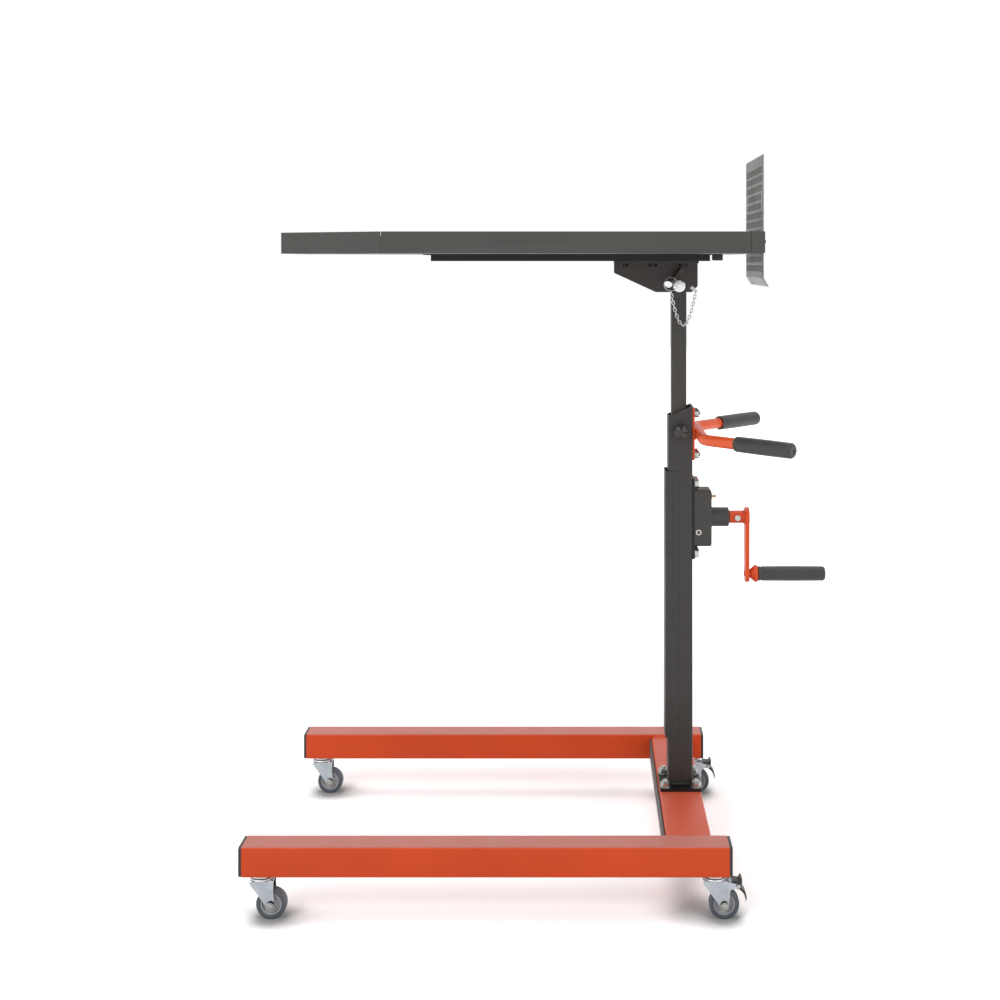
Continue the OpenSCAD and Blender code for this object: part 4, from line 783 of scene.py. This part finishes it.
def washer(name, at, axis, width, hole, height):
    edge = height * 0.3
    profile = [(hole / 2, 0), (width / 2 - edge, 0), arc(width / 2 - edge, edge, edge, -90, 0, 3),
               arc(width / 2 - edge, height - edge, edge, 0, 90, 3), (hole / 2, height)]
    return turned(name, profile, at, axis, 36)


def bolt_stack(at, axis, size, across, nut=True, over=4.0, washer_height=1.6, spin=0.0):
    """What shows of a bolt on a face: washer, nut or head, and the end of the stud. Nut and
    head go by the bolt's size, the washer by the width across their flats."""
    at, axis = np.array(at, float), np.array(axis, float)
    height = size * (NUT_HEIGHT if nut else HEAD_HEIGHT)
    parts = [washer("washer", at, axis, across * WASHER_WIDTH, size, washer_height),
             hexagon("nut", at + axis * washer_height * MM, axis, across, height, nut, spin)]
    if nut:
        parts.append(thread("stud", at + axis * (washer_height + height - 0.5) * MM, axis, size,
                            over + 0.5, size * 0.15))
    return parts


FOOT_BOLT_X, FOOT_BOLT_Y = 28, 32
PLATE_BOLT_Y, HANDLE_BOLT_Z, PLATE_MARGIN = 13, 38, 10
plate_top = highest("foot_plate")[2]
foot_x = middle("foot_bolts")[0]
parts = []
for sx, sy in SIGNS:
    x, y = foot_x + sx * FOOT_BOLT_X * MM, sy * FOOT_BOLT_Y * MM
    parts += bolt_stack((x, y, plate_top), (0, 0, 1), 10, 16.0)
    parts.append(hexagon("head", (x, y, beam_low[2]), (0, 0, -1), 16, 6.4))
add_piece("foot_bolts_turned", parts, dull_steel, "base", ("foot_bolts",), CRISP)

gear_low, gear_high = ends("gearbox_plate")
parts = []
for sz, sy in SIGNS:
    z = (gear_low[2] if sz < 0 else gear_high[2]) - sz * PLATE_MARGIN * MM
    parts += bolt_stack((gear_high[0], sy * PLATE_BOLT_Y * MM, z), (1, 0, 0), 10, 15.5, False)
add_piece("gearbox_bolts_turned", parts, dull_steel, "base", ("gearbox_bolts",), CRISP)

parts = []
for sz, sy in SIGNS:
    seat = (plate_face, sy * PLATE_BOLT_Y * MM, bar_z + sz * HANDLE_BOLT_Z * MM)
    parts += bolt_stack(seat, (1, 0, 0), 8, 13, over=3.0)
add_piece("handle_bolts_turned", parts, dull_steel, "base", ("handle_bolts",), CRISP)

# %% [markdown]
# The tilt bolt goes through both ears and the head of the inner tube. On the near side
# a nut and a wide washer show beside the lock pin, bright against the black ear.

# %% Tilt bolt and the ears' bolts
EAR_OUT = 18.8
FLANGE_UP, EAR_BOLT_Y = 42, 30
EAR_BOLT_X = (-102, -49, 7)
pivot = joint_at["table_tilt"]
parts = []
for side, nut in ((-1, True), (1, False)):
    seat = np.array([pivot[0], side * EAR_OUT * MM, pivot[2]])
    parts += bolt_stack(seat, (0, side, 0), 12, 18, nut, 2.4, 2.0, np.pi / 6)
parts.append(turned("shank", [(0.01, 0), (6, 0), (6, 2 * EAR_OUT), (0.01, 2 * EAR_OUT)],
                    (pivot[0], -EAR_OUT * MM, pivot[2]), (0, 1, 0), 32))
add_piece("tilt_bolt_turned", parts, zinc, "table", ("pivot_bolt",), CRISP)

flange_under = pivot[2] + FLANGE_UP * MM
parts = []
for dx in EAR_BOLT_X:
    for sy in (-1, 1):
        x, y = pivot[0] + dx * MM, sy * EAR_BOLT_Y * MM
        parts += bolt_stack((x, y, flange_under), (0, 0, -1), 8, 13, False, washer_height=1.2)
        parts.append(hexagon("nut", (x, y, flange_under + 6 * MM), (0, 0, 1), 13, 6.5, True))
add_piece("ear_bolts_turned", parts, black_coat, "table", ("ear_bolts",), CRISP)

HUB_HEAD = 4.5
hub_at = middle("hub_bolt")
hub_at[1] = lowest("hub_bolt")[1] + HUB_HEAD * MM
hub_head = hexagon("hub_bolt_turned", hub_at, (0, -1, 0), 10, HUB_HEAD)
add_piece("hub_bolt_turned", hub_head, dull_steel, "crank", ("hub_bolt",), CRISP)

neck_at = joint_at["crank_grip_spin"].copy()
neck_at[0] = highest("crank_arm")[0] - 1.4 * MM
# A dark washer at the arm face; its dark colour also paints the shadow in the grip's neck.
neck = washer("spindle_neck_washer_painted_shade", neck_at, (1, 0, 0), 17, 9, 2.6)
add_piece("spindle_neck_washer_painted_shade", neck, dark_ring, "crank", (), CRISP)
print("bolts, nuts and studs")

# %% [markdown]
# ## Caster wheels
#
# A small caster's wheel is two mouldings: a hard pale hub, hollowed on both sides to
# save plastic, and a tyre of blue-grey rubber cast round it. Both are turned shapes, so
# each is one profile, drawn as a closed loop that goes round the wall and never touches
# the axle. Half of the loop is typed and the other half is its mirror image.

# %% Hubs and tyres
def mirrored(*half):
    """A closed loop of (r, z) from its half at z < 0: the half, then (r, -z) backwards."""
    half = rows_of(half)
    return [half, half[::-1] * (1, -1)]


def tyre_mesh(at, outer, inner, half):
    """Seat, ribbed side wall, round shoulder, and a tread with r = outer - 0.3 (z/half)^2."""
    z = np.linspace(-half + 3.2, 0, 5)
    tread = np.stack([outer - 0.3 * (z / half) ** 2, z], axis=1)
    return turned("tyre", mirrored((inner, 0.9 - half), (inner + 0.6, 0.2 - half), (inner + 1.4, -half),
                                   (inner + 2.0, 0.5 - half), (inner + 2.6, 0.5 - half),
                                   (inner + 3.2, -half), arc(outer - 3.4, 3.4 - half, 3.4, -90, -4, 8),
                                   tread), at, (0, 1, 0), 96, ring=True)


def hub_mesh(at, outer, bore, half):
    """Nave round the axle, thin dished web, rim that carries the tyre."""
    web = np.array([(bore + 4.6, -4.4), (bore + 5.4, -3.2), (bore + 6.8, -2.7), (outer - 4.8, -2.5),
                    (outer - 3.8, -3.0), (outer - 3.4, -4.2)])
    return turned("hub", mirrored((bore, 0.4 - half), (bore + 0.4, -half), (bore + 3.0, -half),
                                  (bore + 3.7, 0.7 - half), web, (outer - 2.9, 2.0 - half),
                                  (outer - 2.3, 1.4 - half), (outer - 0.6, 1.4 - half),
                                  (outer - 0.05, 1.9 - half)), at, (0, 1, 0), 72, ring=True)


AXLE = 8.0
for corner in CORNERS:
    tyre_node, hub_node = "tyre_" + corner, "wheel_" + corner
    centre = middle(tyre_node)
    _, half, outer = size_of(tyre_node) / 2 / MM
    hub_outer = size_of(hub_node)[2] / 2 / MM
    add_piece(tyre_node + "_moulded", tyre_mesh(centre, outer, hub_outer, half), tread_rubber,
              body_of(tyre_node), (tyre_node,), 50)
    add_piece(hub_node + "_moulded", hub_mesh(centre, hub_outer, AXLE / 2 + 0.05, half), hub_plastic,
              body_of(hub_node), (hub_node,), 40)
print("four wheels, each", round(2 * outer), "mm across")

# %% [markdown]
# ## What holds the wheels
#
# Between rail and fork sits a ball race: a bright pressed plate against the rail, a
# bright cup under it, and between them a dark seal, whose dark colour paints the thin
# shadow line of the gap. A stud through the rail holds it, and a rivet through its middle
# holds the fork. The fork is the model's own sheet. Its plain bolt ends are cut off, the
# holes they leave are closed, and a round head, a nut and the small rivets of the pedal
# take their place.

# %% Ball races and axle bolts
def cut_ends(mesh, centre_y, leg_out):
    """Takes off what stands out past the fork's legs and closes the holes it leaves."""
    work = bmesh.new()
    work.from_mesh(mesh)
    past = [vertex for vertex in work.verts if abs(vertex.co.y - centre_y) > leg_out + 0.2 * MM]
    bmesh.ops.delete(work, geom=past, context="VERTS")
    bmesh.ops.holes_fill(work, edges=[edge for edge in work.edges if edge.is_boundary])
    work.to_mesh(mesh)
    work.free()
    mesh.shade_smooth()
    mesh.set_sharp_from_angle(angle=FOLD)


rail_under = float(lowest("near_rail")[2])
plates, seals = [], []
for corner in CORNERS:
    x, y, _ = joint_at["swivel_" + corner]
    at, up = (x, y, rail_under), (0, 0, 1)
    plates += [turned("plate", [(0.01, -3.4), (19.3, -3.4), arc(19.3, -1.7, 1.7, -90, 90, 9), (0.01, 0)],
                      at, up, 64),
               turned("cup", [(0.01, -9), arc(18.4, -7.4, 1.6, -90, 90, 9), (0.01, -5.8)], at, up, 64),
               turned("rivet", [(0.01, -13.9), arc(5.4, -12.3, 1.6, -90, 0, 4), (7, -11.8), (4, -11.8),
                                (4, -8.9), (0.01, -8.9)], at, up, 32),
               thread("stud", at, up, 10, 19, 1.5),
               hexagon("nut", (x, y, rail_under + 2.5 * MM), up, 17, 7, True)]
    # The dark seal in the gap stands in for the gap's shadow: a painted shadow.
    seals.append(turned("seal", [(0.01, -6.4), (18.2, -6.4), (18.7, -5.9), (18.7, -3.8), (18.2, -3.2),
                                 (0.01, -3.2)], at, up, 48))
add_piece("race_plates_pressed", plates, zinc, "base", ("caster_mounts",), CRISP)
add_piece("race_seals_painted_shadow", seals, dark_ring, "base", (), 40)

ROUND_HEAD = [(0.01, 0), (6.3, 0), (6.6, 0.3), (6.3, 0.9), (4.9, 1.0), (4.9, 2.0),
              arc(3.7, 2.0, 1.2, 0, 80, 5), (2.6, 3.3), (2.3, 2.9), (0.01, 2.8)]
PIN_HEAD = [(0.01, 0), (3.0, 0), (3.0, 0.5), arc(1.6, -0.1, 1.4, 40, 90, 5), (0.01, 1.35)]
PIN_PAST_LEG = 5 * MM
pedal_pin = joint_at["brake_near_press"]
for corner in CORNERS:
    fork_node = "fork_" + corner
    centre = middle("tyre_" + corner)
    leg_out = (highest(fork_node)[1] - centre[1]) - PIN_PAST_LEG
    cut_ends(bpy.data.objects[fork_node + "_soft"].data, centre[1], leg_out)
    parts = [turned("head", ROUND_HEAD, centre - (0, leg_out, 0), (0, -1, 0), 40),
             washer("washer", centre + (0, leg_out, 0), (0, 1, 0), 15, 8, 1.0),
             hexagon("nut", centre + (0, leg_out + MM, 0), (0, 1, 0), 13, 4.0, True)]
    for way in (-1, 1) if corner.startswith("right") else ():
        parts.append(turned("rivet", PIN_HEAD, (pedal_pin[0], centre[1] + way * leg_out, pedal_pin[2]),
                            (0, way, 0), 24))
    add_piece("axle_bolt_" + corner, parts, dull_steel, body_of(fork_node), (), CRISP)
print("races, studs, axle bolts")

# %% [markdown]
# ## The lock pin
#
# The pin that holds the tray at an angle is a bent rod. The straight end goes through
# both ears, the other leans down towards the hand and wears a soft dark sleeve, and a
# bright cap is pressed on its end. A key ring hangs on it, two turns of wire, and a
# chain of twisted-apart links joins the ring to an eyelet on the ear, so that the pin
# cannot be lost.

# %% Pin, sleeve and cap
PIN_UP, ELBOW_OUT, SLEEVE_FROM = 30, 5.5, 11
towards = (0, -1, 0)
pin_z = pivot[2] + PIN_UP * MM
pin_elbow = np.array([pivot[0], -(EAR_OUT + ELBOW_OUT) * MM, pin_z])
lean = np.array([-23.0, -46.0, -25.0]) * MM
lean_length = np.linalg.norm(lean)
lean_way = lean / lean_length
rod_path = np.concatenate([[pin_elbow + (0, (2 * EAR_OUT + 9) * MM, 0)],
                           [pin_elbow + (0, 4 * MM, 0)],
                           bend(pin_elbow, towards, lean_way, 10 * MM, 10),
                           [pin_elbow + lean_way * (lean_length - 3 * MM)]])
thickness = np.full(len(rod_path), 5 * MM)
thickness[-6:] = np.linspace(5, 4, 6) * MM
rod = swept("rod", rod_path, thickness, np.cross(towards, lean_way), 28)
collar = turned("collar", [(0.01, 0.3), (5.8, 0.3), (6.2, 0.7), (6.2, 3.0), (5.8, 3.5), (0.01, 3.5)],
                (pivot[0], -EAR_OUT * MM, pin_z), towards, 36)
add_piece("lock_pin_rod", rod, oiled_steel, "lock", ("lock_pin",), 40)
add_piece("lock_pin_collar", collar, dark_ring, "lock", (), CRISP)

run = np.linspace(SLEEVE_FROM, lean_length / MM - 5, 16)
swell = 4.5 + 0.25 * np.sin(np.pi * (run - SLEEVE_FROM) / (run[-1] - SLEEVE_FROM))
sleeve_end = lean_length / MM - 2
sleeve = turned("lock_pin_sleeve", [(3.6, 9.2), (4.2, 9.0), (4.5, 9.5), np.stack([swell, run], axis=1),
                                    (4.4, sleeve_end), (3.6, sleeve_end)], pin_elbow, lean_way, 36)
add_piece("lock_pin_sleeve", sleeve, sleeve_rubber, "lock", ())
cap = turned("lock_pin_cap", [(0.01, -2.5), (6.4, -2.5), (7.0, -1.9), (7.0, 1.6),
                              arc(6.1, 1.6, 0.9, 0, 90, 5), (5.2, 2.5), (4.9, 2.3), (0.01, 2.3)],
             pin_elbow + lean, lean_way, 44)
add_piece("lock_pin_cap", cap, zinc, "lock", (), 30)

# %% [markdown]
# The split ring is a coil of two turns pressed flat, so its path is a circle whose
# depth grows by one wire each turn. Each link of the chain is a stadium, two half
# circles joined by straights. The links follow the parabola that the model hangs the
# chain on, each turned a quarter on from the last, and one matrix product sets all of
# them at once.

# %% Split ring and chain
RING_R, RING_WIRE, RING_DROP, RING_SHARE = 12.0, 1.6, 5.6, 0.8
ring_centre = pin_elbow + RING_SHARE * lean - (0, 0, RING_DROP * MM)
a = np.linspace(0, 4 * np.pi - 0.35, 110)
coil = ring_centre + np.stack([RING_R * np.cos(a), 1.25 * (a / (2 * np.pi) - 1), RING_R * np.sin(a)],
                              axis=1) * MM
add_piece("split_ring_coiled", swept("split_ring_coiled", coil, 0.65 * MM, (0, 1, 0), 10), chain_zinc,
          "lock", ("pin_ring",), 50)

WIRE, INSIDE, GAP, PLAY, SAG = 1.4, 7.0, 3.0, 0.3, 59.0
EYE_OUT, EYELET = 9, 1.2
screw_at = np.array([pivot[0] + 24 * MM, -EAR_OUT * MM, pivot[2] - 3 * MM])
eye_at = screw_at + np.array([EYE_OUT * np.sqrt(0.5), -EYELET / 2, -EYE_OUT * np.sqrt(0.5)]) * MM


def hang(start, end, sag, pitch):
    """Places and tangents of links along start + t way - 4 sag t (1 - t) Z, the same
    length of chain apart and never more than pitch."""
    way, drop = end - start, np.array([0, 0, 4 * sag])
    t = np.linspace(0, 1, 400)[:, None]
    curve = start + t * way - drop * t * (1 - t)
    along = np.concatenate([[0], np.cumsum(np.linalg.norm(np.diff(curve, axis=0), axis=1))])
    count = int(np.ceil(along[-1] / pitch))
    t = np.interp(np.linspace(0, along[-1], count + 1), along, t[:, 0])[:, None]
    tangents = way - drop * (1 - 2 * t)
    return start + t * way - drop * t * (1 - t), tangents / np.linalg.norm(tangents, axis=1)[:, None]


ring_low = ring_centre - (0, 0, RING_R * MM)
span = eye_at - ring_low
droop = np.array([0, 0, 4 * SAG * MM])
chain_start = ring_low + (INSIDE / 2 - PLAY - RING_WIRE / 2) * MM * unit(span - droop)
chain_end = eye_at - (INSIDE / 2 + WIRE / 2) * MM * unit(span + droop)
places, tangents = hang(chain_start, chain_end, SAG * MM, (INSIDE - PLAY / 2) * MM)

reach, side_r = INSIDE / 2 - GAP / 2, GAP / 2 + WIRE / 2
a = np.linspace(0, np.pi, 9)
top_half = np.stack([side_r * np.cos(a), 0 * a, reach + side_r * np.sin(a)], axis=1)
loop = np.concatenate([top_half, -top_half]) * MM
link = swept("link", loop, WIRE / 2 * MM, (0, 1, 0), 8, closed=True)
link_points = points_of(link)
link_faces = np.empty(len(link.loops), np.int32)
link.loops.foreach_get("vertex_index", link_faces)
bpy.data.meshes.remove(link)

span = chain_end - chain_start
phi = np.arctan2(tangents[:, 1], tangents[:, 0])
theta = np.arccos(tangents[:, 2])
turn = np.pi / 2 + np.arctan2(span[1], span[0]) + np.pi / 2 * np.arange(len(places))


def about(axis, angle):
    """Rotation matrices about Y or Z for a whole array of angles."""
    c, s, zero, one = np.cos(angle), np.sin(angle), 0 * angle, 0 * angle + 1
    rows = {"z": [[c, -s, zero], [s, c, zero], [zero, zero, one]],
            "y": [[c, zero, s], [zero, one, zero], [-s, zero, c]]}[axis]
    return np.stack([np.stack(row, axis=-1) for row in rows], axis=1)


turns = about("z", phi) @ about("y", theta) @ about("z", turn)
points = np.einsum("kij,nj->kni", turns, link_points) + places[:, None, :]
faces = link_faces.reshape(-1, 4) + len(link_points) * np.arange(len(places))[:, None, None]
chain_mesh = bpy.data.meshes.new("chain_linked")
chain_mesh.from_pydata(points.reshape(-1, 3).tolist(), [], faces.reshape(-1, 4).tolist())
chain_piece = add_piece("chain_linked", tidy_mesh(chain_mesh), chain_zinc, None,
                        ("safety_chain",))
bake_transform(chain_piece)

eyelet_way = unit(eye_at - screw_at + (0, EYELET / 2 * MM, 0))
across_way = np.cross(eyelet_way, (0, 1, 0))
neck = np.array([[0, -2.2], [6.2, -2.2], [6.2, 2.2], [0, 2.2]]) * MM
outline = screw_at + neck[:, :1] * eyelet_way + neck[:, 1:] * across_way
parts = [turned("disc", [(0.01, 0), (3.9, 0), (4, 0.2), (4, EYELET - 0.2), (3.8, EYELET), (0.01, EYELET)],
                screw_at, towards, 28),
         grid_mesh("neck", np.stack([outline, outline - (0, EYELET * MM, 0)])),
         turned("eye", [(1.4, 0.15), (1.6, 0), (3.0, 0), (3.2, 0.2), (3.2, EYELET - 0.2), (3.0, EYELET),
                        (1.6, EYELET), (1.4, EYELET - 0.15)],
                screw_at + eyelet_way * EYE_OUT * MM, towards, 28, ring=True),
         turned("screw_head", [(0.01, EYELET), (3.5, EYELET), arc(2.3, EYELET + 0.8, 1.2, 0, 90, 5),
                               (1.5, EYELET + 2.0), (1.3, EYELET + 1.3), (0.01, EYELET + 1.2)],
                screw_at, towards, 28),
         turned("screw", [(0.01, -3.7), (2, -3.7), (2, EYELET), (0.01, EYELET)], screw_at, towards, 20)]
add_piece("eyelet_and_screw", parts, chain_zinc, "table", (), CRISP)
print(len(places), "links hang", round(SAG), "mm deep")

# %% [markdown]
# ## The clamp knob
#
# A moulded knob with six lobes that presses a screw against the inner tube. Seen along
# its axis it is a circle whose radius swells and falls six times, and |cos| gives round
# lobes with a crisp valley between them, as a mould does. The lobes fade out towards
# the crown, which leaves the smooth dome that the palm turns on.

# %% Six-lobed knob
def lobes(t, r, z):
    """1.5 |cos(3 t)| - 1, fading out towards the crown."""
    return (1.5 * np.abs(np.cos(3 * t)) - 1.0) * np.clip((r - 6.5) / 4.5, 0, 1)


knob_low, knob_high = ends("clamp_knob")
boss_face = float(lowest("knob_boss")[1]) - 0.3 * MM
knob_at = (mast_x, boss_face, (knob_low[2] + knob_high[2]) / 2)
knob = turned("knob", [(0.01, 0), (11.2, 0), (11.9, 0.5), (12.1, 1.2), (12.1, 8.0),
                       arc(10.3, 8.2, 1.8, 0, 70, 7), (10.4, 10.2), (9.6, 10.9), (9.0, 11.0), (8.4, 11.6),
                       (7.4, 12.4), (6.0, 13.1), (4.6, 13.6), (3.2, 13.9), (2.9, 13.5), (0.01, 13.4)],
              knob_at, (0, -1, 0), 144, wobble=lobes)
screw_reach = (knob_high[1] - boss_face) / MM
parts = [knob, thread("screw", knob_at, (0, 1, 0), 8, screw_reach, 1.25)]
add_piece("clamp_knob_moulded", parts, knob_plastic, "knob", ("clamp_knob",), 34)

# %% [markdown]
# ## On the gearbox
#
# The boss round the crank shaft is part of the casting, so it flows into the housing
# with a fillet instead of meeting it at a corner. A rubber lip seals the shaft at its
# end. The axle of the gear ends in the side wall, dark with oil and with the hollow that
# the lathe's centre left, inside a thin bright collar. A grease nipple stands above the
# boss.

# %% Boss, seal, axle and nipple
BOSS_R, SHAFT_BORE = 17.5, 6.05
outward = (1, 0, 0)
housing_end = float(highest("gearbox_housing")[0])
boss_low, boss_high = ends("shaft_boss")
shaft_at = np.array([housing_end, 0, (boss_low[2] + boss_high[2]) / 2])
boss_end = (boss_high[0] - housing_end) / MM
boss = turned("shaft_boss_cast", [(SHAFT_BORE, -0.5), (BOSS_R + 4, -0.5), arc(BOSS_R + 5, 5, 5, 258, 180, 8),
                                  (BOSS_R, boss_end - 2), arc(BOSS_R - 2, boss_end - 2, 2, 0, 90, 6),
                                  (11.4, boss_end), (11, boss_end - 0.6), (SHAFT_BORE, boss_end - 0.6)],
              shaft_at, outward, 72, ring=True)
add_piece("shaft_boss_cast", boss, gearbox_coat, "base", ("shaft_boss",), 40)
seal = turned("shaft_seal", [(SHAFT_BORE, boss_end - 0.9), (10.8, boss_end - 0.9), (10.8, boss_end - 0.1),
                             (9.8, boss_end + 0.3), (8.2, boss_end - 0.1), (7.2, boss_end + 0.4),
                             (SHAFT_BORE, boss_end + 0.1)], shaft_at, outward, 48, ring=True)
add_piece("shaft_seal", seal, grip_rubber, "base", (), 60)

_, axle_end, axle_r = size_of("gear_axle") / (1, 1, 2) / MM
axle_at = middle("gear_axle")
axle_at[1] = lowest("gear_axle")[1]
axle = turned("gear_axle_turned", [(0.01, 3.2), (2.2, 2.8), (2.5, 1.2), (axle_r - 1.3, 1.0),
                                   (axle_r - 1.3, 0.5), (axle_r, 0.5), (axle_r, axle_end - 0.5),
                                   (axle_r - 0.5, axle_end), (0.01, axle_end)], axle_at, (0, 1, 0), 48)
add_piece("gear_axle_turned", axle, dark_ring, "base", ("gear_axle",), CRISP)
collar = turned("gear_axle_collar", [(axle_r - 1.4, 0.8), (axle_r - 1.4, 0.1), (axle_r - 1.1, -0.2),
                                     (axle_r - 0.3, -0.2), (axle_r, 0.1), (axle_r, 0.8)],
                axle_at, (0, 1, 0), 48, ring=True)
add_piece("gear_axle_collar", collar, zinc, "base", (), CRISP)

nipple_at = middle("grease_nipple")
nipple_at[0] = housing_end
parts = [hexagon("base", nipple_at, outward, 7, 3.0),
         turned("nose", [(0.01, -6), (3, -6), (3, 0), (3, 3.4), (2.6, 4.2), (1.9, 5.4), (1.8, 6.6),
                         arc(0.9, 8.2, 1.8, -45, 62, 9), (1.0, 10.1), (0.8, 9.8), (0.01, 9.8)],
                nipple_at, outward, 32)]
add_piece("grease_nipple_turned", parts, nipple_brass, "base", ("grease_nipple",), CRISP)

# %% [markdown]
# ## Screws of the panel
#
# Two screws hold the slotted panel off the end wall. On each, a wide washer lies on the
# panel, because the square holes are larger than the screw, and a sleeve keeps the gap.

# %% Panel screws
SLEEVE_R, SHEET = 9, 1.5
wall_out = float(highest("tray_end_wall")[0])
spacer_low, spacer_high = ends("panel_spacers")
spacer_z = (spacer_low[2] + spacer_high[2]) / 2
gap = (float(lowest("slotted_panel")[0]) - wall_out) / MM
parts = []
for side in (-1, 1):
    at = np.array([wall_out, side * (spacer_high[1] - SLEEVE_R * MM), spacer_z])
    panel_face = at + (gap * MM + SHEET * MM, 0, 0)
    parts.append(turned("sleeve", [(0.01, 0), (8.5, 0), (SLEEVE_R, 0.5), (SLEEVE_R, gap - 0.5), (8.5, gap),
                                   (0.01, gap)], at, outward, 40))
    parts += bolt_stack(panel_face, outward, 6, 10, over=1.6)
    parts.append(washer("wide", panel_face, outward, 18, 6, 1.5))
    parts.append(hexagon("head", at - (2 * MM, 0, 0), (-1, 0, 0), 10, 4))
add_piece("panel_screws_turned", parts, black_coat, "table", ("panel_spacers",), CRISP)
print("knob, gearbox and panel fittings")
